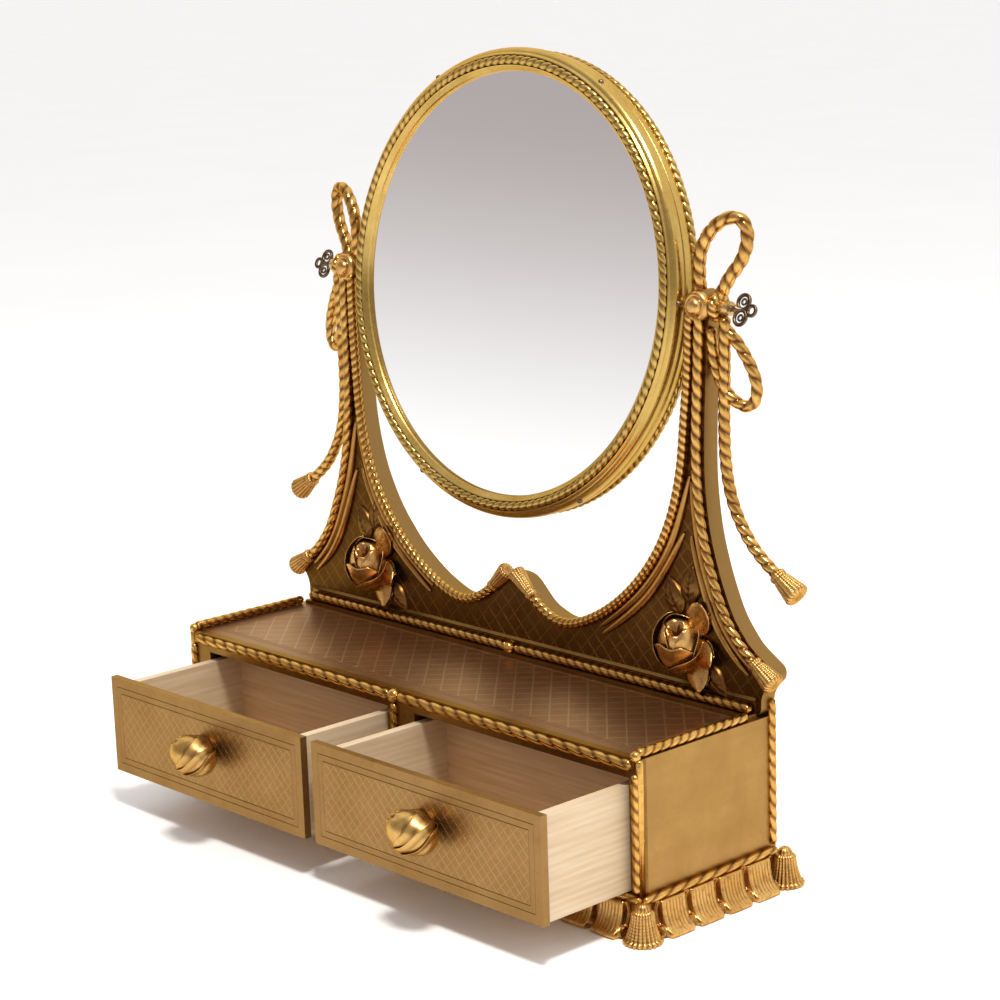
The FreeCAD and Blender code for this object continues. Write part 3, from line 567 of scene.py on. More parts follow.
def case_ropes():
    """Rope mouldings on the case: round the plinth, up the corners, along the top."""
    pile = Pile()
    level = middle("plinth_ropes")[2]
    edge = CASE_FRONT - PLINTH_ROPE
    rod(pile, (-CASE_HALF - 2, edge, level), (CASE_HALF + 2, edge, level), FACING, PLINTH_ROPE,
        PLINTH_PITCH)
    for _, sign in SIDES:
        x = sign * (CASE_HALF + PLINTH_ROPE)
        rod(pile, (x, CASE_FRONT - 2, level), (x, CASE_BACK - 2, level), UPWARD, PLINTH_ROPE,
            PLINTH_PITCH, sign)
    rope = pile.finish("plinth_ropes_carved", ROPE)
    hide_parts("plinth_ropes")

    pile = Pile()
    rail = PLINTH_TOP + RAIL_RISE
    y, rise = CASE_FRONT - 0.3, CASE_TOP + 2.9
    for _, sign in SIDES:
        rod(pile, (sign * 4.5, y, rail), (sign * (CASE_HALF - 5.8), y, rail), FACING, 3.5, 12, -1)
        x = sign * (CASE_HALF - 3.2)
        rod(pile, (x, CASE_FRONT + 1, rise), (x, high("top_ropes")[1], rise), UPWARD, 3.0, 7.5,
            sign, groove=0.24)
        lathe(pile, bead_profile(3.4), (x, CASE_FRONT + 0.3, CASE_TOP + 1.6), FACING)
    lathe(pile, bead_profile(4.6), (0, CASE_FRONT, rail), FACING)
    rope = pile.finish("top_ropes_carved", ROPE)
    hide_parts("top_ropes")

    pile = Pile()
    y = CASE_FRONT - 0.2
    for x in (3.3 - CASE_HALF, 0, CASE_HALF - 3.3):
        rod(pile, (x, y, PLINTH_TOP + 0.8), (x, y, PLINTH_TOP + 74.8), FACING, 3.05, 7.7)
    y = CASE_BACK - 3.1
    for _, sign in SIDES:
        edge = (sign * (CASE_HALF - 1.0), CASE_FRONT + 1.0, PLINTH_TOP)
        lathe(pile, [(2.3, 0.2), (2.3, 81.5), (1.6, 83.2)], edge, (0, 0, 1), 28)
        x = sign * (CASE_HALF + 0.2)
        rod(pile, (x, y, PLINTH_TOP + 1), (x, y, high("upright_ropes")[2]), (sign, 0, 0), 2.9, 8.4,
            sign)
    rope = pile.finish("upright_ropes_carved", ROPE)
    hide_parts("upright_ropes")

    pile = Pile()
    _, y, z = middle("foot_rope")
    for _, sign in SIDES:
        rod(pile, (sign * 4, y, z), (sign * (CASE_HALF - 5), y, z), FACING, 3.1, 7.5, -1)
    lathe(pile, bead_profile(4.2), (0, y - 1.5, z), FACING)
    rope = pile.finish("foot_rope_carved", ROPE)
    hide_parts("foot_rope")


def bead_profile(size):
    """A domed bead with a ring round its foot."""
    arc = [(size * math.cos(a), size * math.sin(a)) for a in np.linspace(0, math.pi / 2 - 0.08, 10)]
    return [(size, -0.6)] + arc


def stand_ropes():
    """The ropes that edge the stand, the bows and their tails."""
    for side, sign in SIDES:
        for name, route, pitch in (("inner", INNER_ROUTE, 4.9), ("outer", OUTER_ROUTE, 8)):
            pile = Pile()
            top_x, top_z = route[0]
            raised = smooth_route([(top_x, top_z + 8)] + route[1:], ROPE_STEP)
            twisted(pile, lift(raised, BOARD_FRONT - ROPE_LIFT, sign), FACING, STAND_ROPE, pitch,
                    hand=sign, flat_at=BOARD_FRONT + 0.4, around=24, groove=0.25)
            pile.points = rake(pile.points).tolist()
            rope = pile.finish("%s_rope_carved_%s" % (name, side), ROPE)
            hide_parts("%s_rope_%s" % (name, side))
        for name, route, y, radius, pitch in (
                ("upper_loop", UPPER_ROUTE, 13.2, 4.2, 8), ("lower_loop", LOWER_ROUTE, 7.3, 3.7, 8),
                ("tail_rope", TAIL_ROUTE, TAIL_BEHIND, 3.8, 7.5)):
            pile = Pile()
            line = lift(smooth_route(route, ROPE_STEP), BOARD_FRONT + y, sign)
            if name != "tail_rope":
                line = swing(line, sign)
            twisted(pile, line, FACING, radius, pitch, hand=sign, around=26, groove=0.24)
            rope = pile.finish("%s_carved_%s" % (name, side), ROPE)
            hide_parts("%s_%s" % (name, side))


def rib_bands():
    """Smooth pairs of bands beside the ropes, tapering at both ends."""
    pile = Pile()
    for _, sign in SIDES:
        for route, way in ((INNER_ROUTE, -1), (OUTER_ROUTE, 1)):
            last = 7 if way < 0 else 8
            for off, first in ((5.8, 3), (10.9, 4)):
                line = smooth_route(offset(route, way * off)[first:last + 1], 0.8)
                band(pile, lift(line, BOARD_FRONT, sign), 2.9, 3.6)
    pile.points = rake(pile.points).tolist()
    ribs = pile.finish("stand_ribs_carved", RIB)
    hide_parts("stand_ribs")


def offset(points, distance):
    """Move an open polyline sideways, to its right where distance is positive."""
    moved = []
    for index, (x, z) in enumerate(points):
        before = points[max(index - 1, 0)]
        after = points[min(index + 1, len(points) - 1)]
        run = math.hypot(after[0] - before[0], after[1] - before[1])
        moved.append((x + (after[1] - before[1]) / run * distance,
                      z + (before[0] - after[0]) / run * distance))
    return moved


def band(pile, line, half, rise):
    """A rounded band lying on the board along a line, thin at its ends."""
    ahead = np.gradient(line, axis=0)
    ahead /= np.linalg.norm(ahead, axis=1)[:, None]
    across = np.cross(ahead, FACING)
    taper = np.sin(math.pi * np.linspace(0.01, 0.99, len(line))) ** 0.3
    angle = np.linspace(0, math.pi, 15)
    wide = (half * taper[:, None] * np.cos(angle))[..., None]
    tall = (rise * taper[:, None] * np.sin(angle))[..., None]
    points = line[:, None, :] + across[:, None, :] * wide + np.array(FACING) * tall
    # Painted shade along both sides of the band, where it meets the board.
    pile.add_grid(points, np.broadcast_to(np.abs(np.cos(angle)) ** 6 * 0.8, points.shape[:2]))


# Sections of the mirror's frame, as (distance in front of its middle, radius).
FRONT_PROFILE = (
    (3.0, 135.7), (4.8, 135.7), (5.7, 136.2), (7.0, 137.5), (8.1, 138.6), (8.5, 139.2),
    (8.0, 139.35), (4.7, 139.35), (4.6, 145.3), (7.4, 145.35), (8.0, 145.7), (7.7, 146.3),
    (6.9, 146.8), (6.3, 147.4), (5.9, 148.2), (5.2, 149.1), (4.2, 149.9), (3.0, 150.35),
    (1.6, 150.65), (0.2, 150.7), (-1.2, 150.5), (-2.4, 150.1), (-3.2, 149.5), (-3.45, 148.9),
    (-3.45, 140.6), (3.0, 140.6))
REAR_PROFILE = (
    (-14, 134), (-3.55, 134), (-3.55, 148.9), (-4.1, 149.5), (-6, 149.9), (-8.2, 149.6),
    (-10, 149.0), (-11.7, 148.2), (-12.3, 147.2), (-12.4, 144.5), (-13.6, 143.8), (-16.5, 143.7),
    (-17.5, 142), (-17.5, 138))
SEAM = -3.5
RING_POINTS = 360


def crisp(profile, reach=0.14):
    """Add points close to each corner, so that smooth shading keeps it."""
    fine = []
    for here, ahead in zip(profile, profile[1:] + profile[:1]):
        run = math.dist(here, ahead)
        fine.append(here)
        if run > 4 * reach:
            for share in (reach / run, 1 - reach / run):
                fine.append(tuple(a + (b - a) * share for a, b in zip(here, ahead)))
    return fine


def mirror_frames():
    """The two turned halves of the mirror's frame, with rounded mouldings."""
    for name, profile in (("mirror_front_frame", FRONT_PROFILE),
                          ("mirror_rear_frame", REAR_PROFILE)):
        pile = Pile()
        rows, shade = [], []
        for off, radius in crisp(profile):
            in_seam = abs(off - SEAM) < 0.3
            rows.append(circle_line(radius, off, RING_POINTS))
            shade.append(np.full(RING_POINTS, 0.8 if in_seam else 0.0))
        pile.add_grid(rows, shade, wrap_rows=True, wrap_columns=True)
        frame_mesh = pile.finish(name + "_turned", BRASSY, "mirror")
        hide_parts(name)


def ring_ropes():
    """The twisted beads round the mirror's frame."""
    normal = tilt(np.array([0, 0, 1.0])) - tilt(np.array([0, 0, 0.0]))
    for name, radius, off in (("front_ring_rope", 142.35, 7.5), ("rear_ring_rope", 146.75, -15.1)):
        pile = Pile()
        twisted(pile, circle_line(radius, off, 1300), normal, 2.95, 6.3, closed=True)
        rope = pile.finish(name + "_carved", BRASSY, "mirror")
        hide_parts(name)


# ---- fringe

REEDS = 7
FAN_SHARE = 0.74
FAN_COLUMNS = 72
FRINGE_STOP = 8.4
# The skirt from its top edge to its lip and back underneath: how far out, how
# high as a share of its height, how far its folds swell, how deep its reeds are.
SKIRT = (
    (0.0, 1.0, 0, 0), (5.2, 1.0, 0.3, 0.1), (5.9, 0.95, 0.5, 0.7), (6.4, 0.84, 0.8, 1),
    (6.8, 0.70, 1, 1), (7.4, 0.56, 1, 1), (8.4, 0.42, 1, 1), (9.8, 0.31, 1, 1),
    (11.4, 0.23, 0.95, 0.85), (13.0, 0.18, 0.9, 0.45), (14.1, 0.135, 0.85, 0.1),
    (14.4, 0.085, 0.8, 0), (14.0, 0.035, 0.75, 0), (12.6, 0.0, 0.7, 0), (9.0, 0.0, 0.4, 0),
    (0.0, 0.0, 0, 0))


def fringe(name, start, along, outward, length, fans):
    """A gathered skirt: fans of fine reeds with curled lips, and deep folds between."""
    across = fans * FAN_COLUMNS
    top = high("fringe_front")[2]
    s = np.linspace(0, 1, across + 1)
    side = np.abs((s * fans) % 1.0 - 0.5) * 2
    side[-1] = 1.0
    fold = np.clip((side - FAN_SHARE) / (1 - FAN_SHARE) * 2.2, 0, 1)
    fold = fold * fold * (3 - 2 * fold)
    reed = np.abs(np.cos(math.pi * REEDS * side / (2 * FAN_SHARE)))
    reed = np.where(side < FAN_SHARE, reed, 1.0)
    rows, shade = [], []
    for out, rise, big, deep in SKIRT:
        distance = out - big * (4.6 * fold + 0.9 * side ** 2) - deep * 0.62 * (1 - reed ** 0.6)
        point = (np.array(start)[None, :] + np.array(along)[None, :] * (s * length)[:, None]
                 + np.array(outward)[None, :] * np.maximum(distance, 0)[:, None])
        point[:, 2] = top * rise + big * 2.2 * fold * (0.01 < rise < 0.3)
        rows.append(point)
        # Painted shade in the grooves between the reeds and in the folds between the fans.
        shade.append(np.clip(deep * 0.8 * (1 - reed) ** 1.5 + big * 0.75 * fold, 0, 1))
    pile = Pile()
    pile.add_grid(rows, shade, wrap_rows=True)
    for column in (0, across):
        pile.faces.append(tuple(range(column, len(SKIRT) * (across + 1), across + 1)))
    skirt = pile.finish(name + "_carved", CARVED)
    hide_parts(name)


def fringes():
    """Skirts along the front and the two sides; the back has none."""
    half = CASE_HALF - FRINGE_STOP
    depth = (CASE_BACK - CASE_FRONT) - 2 * FRINGE_STOP
    fringe("fringe_front", (-half, CASE_FRONT, 0), (1, 0, 0), (0, -1, 0), 2 * half, 17)
    fringe("fringe_right", (CASE_HALF, CASE_FRONT + FRINGE_STOP, 0), (0, 1, 0), (1, 0, 0),
           depth, 4)
    fringe("fringe_left", (-CASE_HALF, CASE_BACK - FRINGE_STOP, 0), (0, -1, 0), (-1, 0, 0),
           depth, 4)


TASSEL_LONG = 20.3
CORNER_OUT = 4


def threads(count, depth):
    """A ripple of fine threads, for lathe, with painted shade between the threads."""
    def ripple(angle):
        wave = np.abs(np.sin(count * angle / 2))
        return -depth * (1 - wave), (1 - wave) ** 1.5
    return ripple


def corner_tassels():
    """A bell of fine threads under a round knot at each corner of the plinth."""
    pile = Pile()
    base = [(11.4, 0.0), (12.1, 0.8), (12.2, 2.0), (11.6, 3.0)]
    for level in np.arange(3.0, 18.5, 0.6):
        bell = 6.9 + 4.9 * (1 - level / 19) ** 1.7
        ridge = 0.22 * math.cos(level / 1.8 * 2 * math.pi)
        base.append((bell + ridge, level))
    base += [(6.2, 19.3), (4.8, 20.2)]
    knot = [(4.7 * math.cos(a), 20.2 + 4.4 * math.sin(a)) for a in np.linspace(-0.7, 1.45, 11)]
    for x in (-1, 1):
        for y in (-1, 1):
            place = (x * (CASE_HALF + CORNER_OUT), y * (CASE_BACK + CORNER_OUT), 0.05)
            lathe(pile, base, place, (0, 0, 1), 132, threads(22, 0.10))
            lathe(pile, knot, place, (0, 0, 1), 48, threads(12, 0.06))
    tassel = pile.finish("corner_tassels_carved", CARVED)
    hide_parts("corner_tassels")


def hanging_tassels():
    """The tassels at the ropes' ends: a bound neck, a skirt of threads and a grainy end."""
    skirt = [(3.7, -1.5), (4.9, -0.4), (4.9, 1.6), (3.9, 2.8)]
    for level in np.arange(3.6, 18.0, 0.45):
        ridge = 0.16 * math.cos(level / 1.6 * 2 * math.pi)
        skirt.append((4.2 + 0.17 * level + ridge, level))
    skirt += [(7.2, 18.4), (6.8, 19.5), (5.6, 20.0), (3.0, TASSEL_LONG)]
    pile = Pile()
    for _, sign in SIDES:
        for route, y, length, size, lean in ((INNER_ROUTE, -ROPE_LIFT, 21, 0.83, True),
                                             (OUTER_ROUTE, -ROPE_LIFT, 19.5, 1.0, True),
                                             (TAIL_ROUTE, TAIL_BEHIND, 19.5, 1.1, False)):
            (x1, z1), (x2, z2) = route[-2:]
            axis = np.array([sign * (x2 - x1), 0, z2 - z1], dtype=float)
            start = np.array([sign * x2, BOARD_FRONT + y, z2])
            part = Pile()
            sized = [(r * size, h * length / TASSEL_LONG) for r, h in skirt]
            lathe(part, sized, start, axis, 96, threads(17, 0.10))
            if lean:
                part.points = rake(part.points).tolist()
            pile.add_pile(part)
    tassel = pile.finish("stand_tassels_carved", CARVED)
    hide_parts("stand_tassels")


# ---- roses, knobs

CUP_ACROSS = 45
CUP_UP = 34
CUP_LIP = 0.085
CUP_THICK = 0.075


def bud_axes(eye):
    """The way a bud opens, and two directions square to it."""
    eye = np.array(eye, dtype=float) / np.linalg.norm(eye)
    first = np.cross(eye, (0, 0, 1.0))
    first /= np.linalg.norm(first)
    return eye, first, np.cross(eye, first)


def on_bud(centre, size, eye, polar, around, shell):
    """Points on a bud: polar is the angle from its eye, around the turn about it."""
    axis, first, second = bud_axes(eye)
    spread = np.cos(around)[..., None] * first + np.sin(around)[..., None] * second
    direction = np.cos(polar)[..., None] * axis + np.sin(polar)[..., None] * spread
    return np.array(centre) + np.array(size) * direction * shell[..., None]


def heart(pile, centre, size, eye, shell, hollow):
    """The closed middle of a bud, with a pit where it opens, darkened by painted shade."""
    polar, around = np.meshgrid(np.linspace(0.01, math.pi - 0.01, 60),
                                np.linspace(0, 2 * math.pi, 72, endpoint=False), indexing="ij")
    pit = np.clip(1 - polar / hollow, 0, 1)
    ruffle = 0.03 * np.sin(5 * around) * np.exp(-((polar - hollow) / 0.25) ** 2)
    points = on_bud(centre, size, eye, polar, around, shell * (1 - 0.55 * pit ** 0.7) + ruffle)
    pile.add_grid(points, np.clip(1.6 * pit ** 0.5, 0, 1), wrap_columns=True, caps=True)


def cup(pile, centre, size, eye, turn, half, lip, shell):
    """One petal of a bud: a curved shell from the foot up to a rolled lip.

    It spreads half to each side of turn, opens at the angle lip from the eye,
    and shell is its size as a share of the bud's.
    """
    across = np.linspace(-1, 1, CUP_ACROSS)
    up = np.linspace(0, 1, CUP_UP)
    wave = 0.05 * np.sin(7 * across + turn)
    top = lip + (1.9 - lip) * np.abs(across) ** 2.6 + wave
    polar = 3.0 - (3.0 - top[:, None]) * up[None, :]
    around = np.broadcast_to(turn + half * across[:, None], polar.shape)
    roll = np.clip((up - 0.78) / 0.22, 0, 1) ** 1.6
    outer = shell * (1 - 0.07 * np.abs(across[:, None]) ** 4) * (1 + CUP_LIP * roll[None, :])
    inner = outer - CUP_THICK * np.sin(math.pi * np.clip(up * 0.5 + 0.42, 0, 0.98))[None, :]
    sheet = np.concatenate([on_bud(centre, size, eye, polar, around, outer),
                            on_bud(centre, size, eye, polar, around, inner)[:, ::-1]], axis=1)
    # Painted shade: a line under the rolled lip, over the whole inner face and along both edges;
    # the lip is left clear.
    shade_under_lip = 0.6 * np.exp(-((up - 0.82) / 0.05) ** 2)
    dark = np.concatenate([np.tile(shade_under_lip, (CUP_ACROSS, 1)), np.full((CUP_ACROSS, CUP_UP), 0.85)],
                          axis=1)
    dark[:, CUP_UP] = 0
    dark[:3] = dark[-3:] = 0.8
    pile.add_grid(sheet, dark, wrap_columns=True, caps=True)


KNOB_EYE = (-0.55, -0.45, 0.70)
KNOB_CUPS = (
    (2.9, 2.4, 0.50, 0.87), (3.8, 2.2, 0.98, 0.915), (3.1, 2.1, 1.45, 0.955),
    (3.6, 2.0, 1.90, 0.99))
KNOB_STEM = [(7.5, 0), (9.5, 0.5), (10.5, 4.0), (7.0, 9.0)]
STEM_IN = 14


def knobs():
    """Half-open buds lying on their side, their lips nested one behind the other."""
    for side, _ in SIDES:
        pile = Pile()
        box_low, box_high = low("drawer_knob_" + side), high("drawer_knob_" + side)
        size = (box_high - box_low) / 2
        centre = box_low + size
        heart(pile, centre + (-3.2, -0.4, 1.6), size * (0.77, 0.92, 0.84), KNOB_EYE, 0.96, 0.30)
        for petal_shape in KNOB_CUPS:
            cup(pile, centre, size, KNOB_EYE, *petal_shape)
        foot = np.array([box_low[0] + STEM_IN, box_high[1], box_low[2] + STEM_IN])
        lathe(pile, KNOB_STEM, foot, FACING, 32)
        knob = pile.finish("knob_carved_" + side, BRIGHT, "drawer_" + side)
        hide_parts("drawer_knob_" + side)


ROSE_EYE = (0.2, -0.62, 0.75)
ROSES = (("left", -142, 150), ("right", 156, 147))
ROSE_SIZE = (18, 15.5, 20.5)
ROSE_CUPS = (
    (0.4, 1.5, 0.44, 0.80), (2.6, 1.5, 0.50, 0.83), (4.6, 1.5, 0.62, 0.85),
    (1.5, 1.5, 0.84, 0.89), (3.7, 1.6, 0.92, 0.92), (5.7, 1.6, 1.05, 0.94),
    (2.7, 1.6, 1.32, 0.97), (4.9, 1.6, 1.50, 1.0))
# Broad petals beside a rose: right, up, turn, length, half width.
ROSE_PETALS = ((6, 8, 0.92, 24, 10), (8, -2, -0.35, 21, 9), (7, -9, -1.0, 22, 10))
PETAL_ROWS = 24
PETAL_COLUMNS = 21


def roses():
    """A rose on each side of the board, and the dark leaves behind them."""
    for side, x, z in ROSES:
        pile = Pile()
        centre = (x - 2, BOARD_FRONT - 5, z - 1)
        heart(pile, centre, ROSE_SIZE, ROSE_EYE, 0.78, 0.42)
        for petal_shape in ROSE_CUPS:
            cup(pile, centre, ROSE_SIZE, ROSE_EYE, *petal_shape)
        for across, along, turn, reach, half in ROSE_PETALS:
            petal(pile, x + across, z + along, turn, reach, half)
        pile.points = rake(pile.points).tolist()
        rose = pile.finish("rose_carved_" + side, ROSE)
        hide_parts("rose_" + side)
    pile = Pile()
    for _, x, z in ROSES:
        for across, along in ((4, 38), (26, -22), (-10, 25)):
            leaf(pile, x + across * 0.55, z + along * 0.6, math.atan2(along, across), 25, 8)
    pile.points = rake(pile.points).tolist()
    leaves = pile.finish("rose_leaves_carved", DARK)
    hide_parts("rose_leaves")


def on_board(x, z, angle, reach, side, rise):
    """Points over the board: reach along a leaf from its foot, and side across it."""
    px = x + math.cos(angle) * reach - math.sin(angle) * side
    pz = z + math.sin(angle) * reach + math.cos(angle) * side
    return np.stack(np.broadcast_arrays(px, BOARD_FRONT - rise, pz), axis=-1)


def petal(pile, x, z, angle, length, half):
    """A broad round petal that springs from the bud's foot and cups outwards."""
    v = np.linspace(0, 1, PETAL_ROWS)[:, None]
    u = np.linspace(-1, 1, PETAL_COLUMNS)
    width = half * np.sin(math.pi * (0.12 + 0.80 * v)) ** 0.55
    rise = 2.5 + 7.5 * v ** 1.6 * (1 - 0.5 * u * u) + 2.0 * (1 - v) * (1 - u * u)
    front = on_board(x, z, angle, v * length * (1 - 0.12 * u * u), u * width, rise)
    back = front.copy()
    back[..., 1] = np.minimum(back[..., 1] + 1.4 + 1.6 * (1 - v), BOARD_FRONT + 0.2)
    # Painted shade at the petal's foot, and more on its underside.
    shade = np.broadcast_to(0.7 * (1 - v) ** 2, rise.shape)
    both = np.concatenate([front, back[::-1]], axis=0)
    dark = np.concatenate([shade, shade[::-1] + 0.3], axis=0)
    start = len(pile.points)
    pile.add_grid(both, np.clip(dark, 0, 1), wrap_rows=True)
    for edge in (0, PETAL_COLUMNS - 1):
        pile.faces.append(tuple(start + r * PETAL_COLUMNS + edge for r in range(len(both))))


def leaf(pile, x, z, angle, length, half):
    """A pointed leaf lying on the board, with a midrib and side veins."""
    v = np.linspace(0, 1, 34)[:, None]
    u = np.linspace(-1, 1, 21)
    width = half * np.sin(math.pi * v ** 0.8) ** 0.8 + 0.05
    vein = np.abs(np.sin(math.pi * 5 * (v - np.abs(u) * 0.25)))
    midrib = np.exp(-(u * 9) ** 2)
    inward = 1 - np.abs(u)
    rise = 1.2 + 3.0 * np.sin(math.pi * v) * (1 - 0.75 * u * u) + 0.5 * vein * inward - 0.9 * midrib
    points = on_board(x, z, angle, v * length, u * width, rise * (np.abs(u) < 0.99) - 0.3)
    # Painted shade in the midrib and between the side veins.
    pile.add_grid(points, np.clip(0.8 * midrib + 0.35 * (1 - vein) * inward, 0, 1))


# ---- lined surfaces

LINE_WIDTH = 0.28
LINE_DEPTH = 0.32


def lined_plate(name, node_name, material, body, flat_axes, normal_axis, facing, insets):
    """A box whose showing face has incised border lines, in place of the CAD box.

    The "lattice" attribute is 1 inside the innermost line.
    """
    box_low, box_high = low(node_name), high(node_name)
    a, b = flat_axes
    cuts = sorted({0.0} | {max(i + w, 0.0) for i in insets
                           for w in (-LINE_WIDTH, 0, LINE_WIDTH, 1.0)})
    spots = []
    for axis in (a, b):
        span = box_high[axis] - box_low[axis]
        line = [box_low[axis] + c for c in cuts]
        inner = np.linspace(cuts[-1], span - cuts[-1], 12)[1:-1] + box_low[axis]
        spots.append(np.array(line + list(inner) + [box_high[axis] - c for c in reversed(cuts)]))
    first, second = np.meshgrid(*spots, indexing="ij")
    inset = np.minimum(np.minimum(first - box_low[a], box_high[a] - first),
                       np.minimum(second - box_low[b], box_high[b] - second))
    groove = np.zeros_like(inset)
    for line in insets:
        groove = np.maximum(groove, (np.abs(inset - line) < LINE_WIDTH * 0.5) * 1.0)
    face = box_high[normal_axis] if facing > 0 else box_low[normal_axis]
    back = box_low[normal_axis] if facing > 0 else box_high[normal_axis]
    top = np.zeros(first.shape + (3,))
    top[..., a], top[..., b] = first, second
    top[..., normal_axis] = face - facing * LINE_DEPTH * groove
    pile = Pile()
    # Painted shade in the incised lines.
    pile.add_grid(top, groove * 0.75)
    rows, columns = first.shape
    rim = ([(i, 0) for i in range(rows)] + [(rows - 1, j) for j in range(1, columns)]
           + [(i, columns - 1) for i in range(rows - 2, -1, -1)]
           + [(0, j) for j in range(columns - 2, 0, -1)])
    edge = np.array([top[i, j] for i, j in rim])
    sunk = edge.copy()
    sunk[:, normal_axis] = back
    pile.add_grid(np.array([edge, sunk]), wrap_columns=True)
    last = len(pile.points)
    pile.faces.append(tuple(range(last - len(rim), last)))
    plate = pile.finish(name, material, body, smooth=False)
    layer = plate.data.attributes.new("lattice", "FLOAT", "POINT")
    shown = (inset.ravel() > max(insets) + 0.9).astype(np.float32)
    layer.data.foreach_set("value", np.r_[shown, np.zeros(last - shown.size, dtype=np.float32)])
    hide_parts(node_name)


def lined_faces():
    """The drawer fronts and the case top, with their border lines."""
    for side, _ in SIDES:
        lined_plate("drawer_front_incised_" + side, "drawer_front_" + side, FACE,
                    "drawer_" + side, (0, 2), 1, -1, (6.2, 10.4))
    lined_plate("case_top_incised", "case_top", TOP, "stand", (0, 1), 2, 1, (7.5, 10.5))


# ---- knots, keys

KNOT_POINTS = 90
KNOT_REACH = 6.0
BOSS_AT = 164.5
BOSS = [
    (9.4, 0), (9.6, 1.4), (9.2, 3.0), (8.2, 4.2), (7.0, 4.6), (6.1, 4.2), (5.7, 3.4), (5.5, 4.4),
    (5.2, 5.6), (4.5, 6.8), (3.4, 7.7), (2.0, 8.15), (0.2, 8.2)]
KEY_TURN = math.radians(22)
KEY_SHANK = [
    (2.0, 144), (2.0, 186.2), (1.7, 187), (1.7, 189), (2.7, 189.6), (2.7, 190.6), (1.5, 191.4),
    (1.3, 195)]
# The wire rings of a key's bow: up, along the shank, radius, half the wire.
KEY_RINGS = (
    (4.75, 194.5, 4.4, 1.2), (-4.75, 194.5, 4.4, 1.2), (0, 202, 3.0, 1.15),
    (4.9, 194.8, 1.7, 0.7), (-4.9, 194.8, 1.7, 0.7), (0, 198.0, 1.6, 0.9))


def knots():
    """The bows' knots: a barrel on each side with a ring of rope round it."""
    for side, sign in SIDES:
        pile = Pile()
        near, far = sorted(abs(corner("bow_knot_" + side)[0]) for corner in (low, high))
        length = far - near
        angle = np.linspace(0, 2 * math.pi, KNOT_POINTS, endpoint=False)
        ring = np.stack([np.full(KNOT_POINTS, sign * (near + length * 0.5)),
                         PIVOT[1] + KNOT_REACH * np.cos(angle),
                         PIVOT[2] + KNOT_REACH * np.sin(angle)], axis=1)
        twisted(pile, ring, (sign, 0, 0), 3.3, 4.4, closed=True, around=18)
        barrel = [(2.1, 0), (5.0, 0.3), (6.2, 3), (6.2, length - 3), (5.0, length - 0.3),
                  (2.1, length)]
        lathe(pile, barrel, (sign * near, PIVOT[1], PIVOT[2]), (sign, 0, 0), 32)
        knot = pile.finish("bow_knot_carved_" + side, ROPE)
        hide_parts("bow_knot_" + side)


def bosses():
    """The turned bosses on the board in front of the pivots."""
    pile = Pile()
    for _, sign in SIDES:
        lathe(pile, BOSS, (sign * BOSS_AT, BOARD_FRONT, PIVOT[2] + 0.5), FACING, 56)
    pile.points = rake(pile.points).tolist()
    boss = pile.finish("pivot_bosses_carved", ROSE)
    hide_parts("pivot_bosses")


def keys():
    """Bronze thumbscrews with pierced, scrolled bows."""
    up = np.array([0, math.sin(KEY_TURN), math.cos(KEY_TURN)])
    axis_start = np.array([0, PIVOT[1], PIVOT[2]])
    angle = np.linspace(0, 2 * math.pi, 48, endpoint=False)[:, None]
    for side, sign in SIDES:
        out = np.array([sign, 0.0, 0.0])
        pile = Pile()
        lathe(pile, KEY_SHANK, axis_start, out, 28)
        for rise, along, radius, wire in KEY_RINGS:
            hub = axis_start + out * along + up * rise
            ring = hub + radius * (np.cos(angle) * out + np.sin(angle) * up)
            twisted(pile, ring, np.cross(out, up), wire, 50, closed=True, groove=0.05, around=12)
        key = pile.finish("key_shaped_" + side, BRONZE, "thumbscrew_" + side)
        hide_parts("key_" + side)


# ---- floor, light

FLOOR_FAR = 30.0
FLOOR_NEAR = -1.35
LIGHT_PLACE = (0.85, -0.55, 2.2)
LIGHT_TARGET = (0, -0.05, 0.1)
LIGHT_SIZE = 0.35
LIGHT_POWER = 44
LIGHT_COLOUR = (1.0, 0.97, 0.93)
HORIZON = (-0.11, 0.09)
WALL = (0.375, 0.34, 0.332)
CAMERA_PLACE = (1.1789, -1.0434, 0.5701)
AZIMUTH, ELEVATION, ROLL = (math.radians(angle) for angle in (46.89, 13.23, -1.75))
LENS = 90.37
SENSOR = 36.0
SHIFT = (-0.0258, 0.0316)


def floor():
    """A plain white floor that stops a little way in front of the piece."""
    mesh = bpy.data.meshes.new("floor")
    corners = [(-FLOOR_FAR, FLOOR_NEAR, 0), (FLOOR_FAR, FLOOR_NEAR, 0), (FLOOR_FAR, FLOOR_FAR, 0),
               (-FLOOR_FAR, FLOOR_FAR, 0)]
    mesh.from_pydata(corners, [], [(0, 1, 2, 3)])
    thing = bpy.data.objects.new("floor", mesh)
    bpy.context.scene.collection.objects.link(thing)
    material, tree, shader = new_material("floor_white")
    mottle = noise(tree, place_of(tree), 3, 2)
    colour = ramp(tree, mottle, ((0.3, (0.95, 0.95, 0.95)), (0.7, (0.97, 0.97, 0.97))))
    coat(tree, shader, colour, 0.9)
    mesh.materials.append(material)


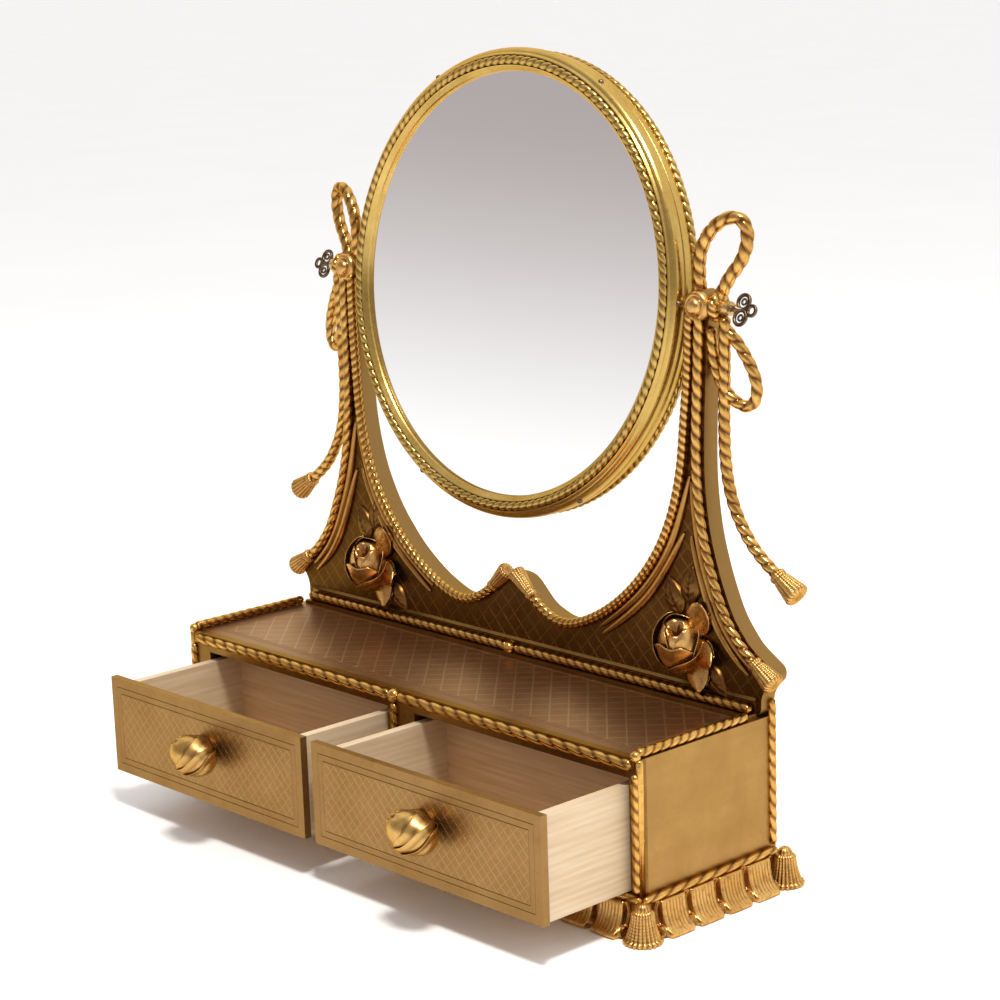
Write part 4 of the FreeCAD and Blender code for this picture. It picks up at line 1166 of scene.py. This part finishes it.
def overhead_light():
    """One small soft light, high on the right."""
    data = bpy.data.lights.new("overhead", "AREA")
    data.shape = "RECTANGLE"
    data.size = data.size_y = LIGHT_SIZE
    data.energy = LIGHT_POWER
    data.color = LIGHT_COLOUR
    light = bpy.data.objects.new("overhead", data)
    light.location = LIGHT_PLACE
    aim = np.array(LIGHT_TARGET) - np.array(LIGHT_PLACE)
    light.rotation_euler = Vector(aim).to_track_quat("-Z", "Y").to_euler()
    bpy.context.scene.collection.objects.link(light)


def world():
    """White all round, with a soft grey-mauve wall above the horizon in front."""
    sky = bpy.data.worlds.new("studio")
    sky.use_nodes = True
    tree = sky.node_tree
    background = tree.nodes["Background"]
    looking = axes(tree, place_of(tree, "Generated"))
    wall = maths(tree, "MULTIPLY", between(tree, looking["Z"], *HORIZON),
                 between(tree, looking["Y"], 0.0, -0.5))
    colour = mix(tree, wall, (1.0, 1.0, 1.0), WALL)
    tree.links.new(colour, background.inputs["Color"])
    background.inputs["Strength"].default_value = 1.2
    bpy.context.scene.world = sky


def camera():
    """The main view, from the front and right, a little above."""
    back = np.array([math.cos(ELEVATION) * math.sin(AZIMUTH),
                     -math.cos(ELEVATION) * math.cos(AZIMUTH), math.sin(ELEVATION)])
    right = np.array([math.cos(AZIMUTH), math.sin(AZIMUTH), 0.0])
    up = np.cross(back, right)
    across = math.cos(ROLL) * right + math.sin(ROLL) * up
    upward = -math.sin(ROLL) * right + math.cos(ROLL) * up
    data = bpy.data.cameras.new("camera")
    data.sensor_width = SENSOR
    data.lens = LENS
    data.shift_x, data.shift_y = SHIFT
    eye = bpy.data.objects.new("camera", data)
    rows = [[across[i], upward[i], back[i], CAMERA_PLACE[i]] for i in range(3)]
    eye.matrix_world = Matrix(rows + [[0, 0, 0, 1]])
    bpy.context.scene.collection.objects.link(eye)
    bpy.context.scene.camera = eye


paint_cad()
lined_faces()
case_ropes()
stand_ropes()
rib_bands()
mirror_frames()
ring_ropes()
fringes()
corner_tassels()
hanging_tassels()
knobs()
roses()
knots()
bosses()
keys()
floor()
world()
overhead_light()
camera()
bpy.context.scene.view_settings.view_transform = "Standard"
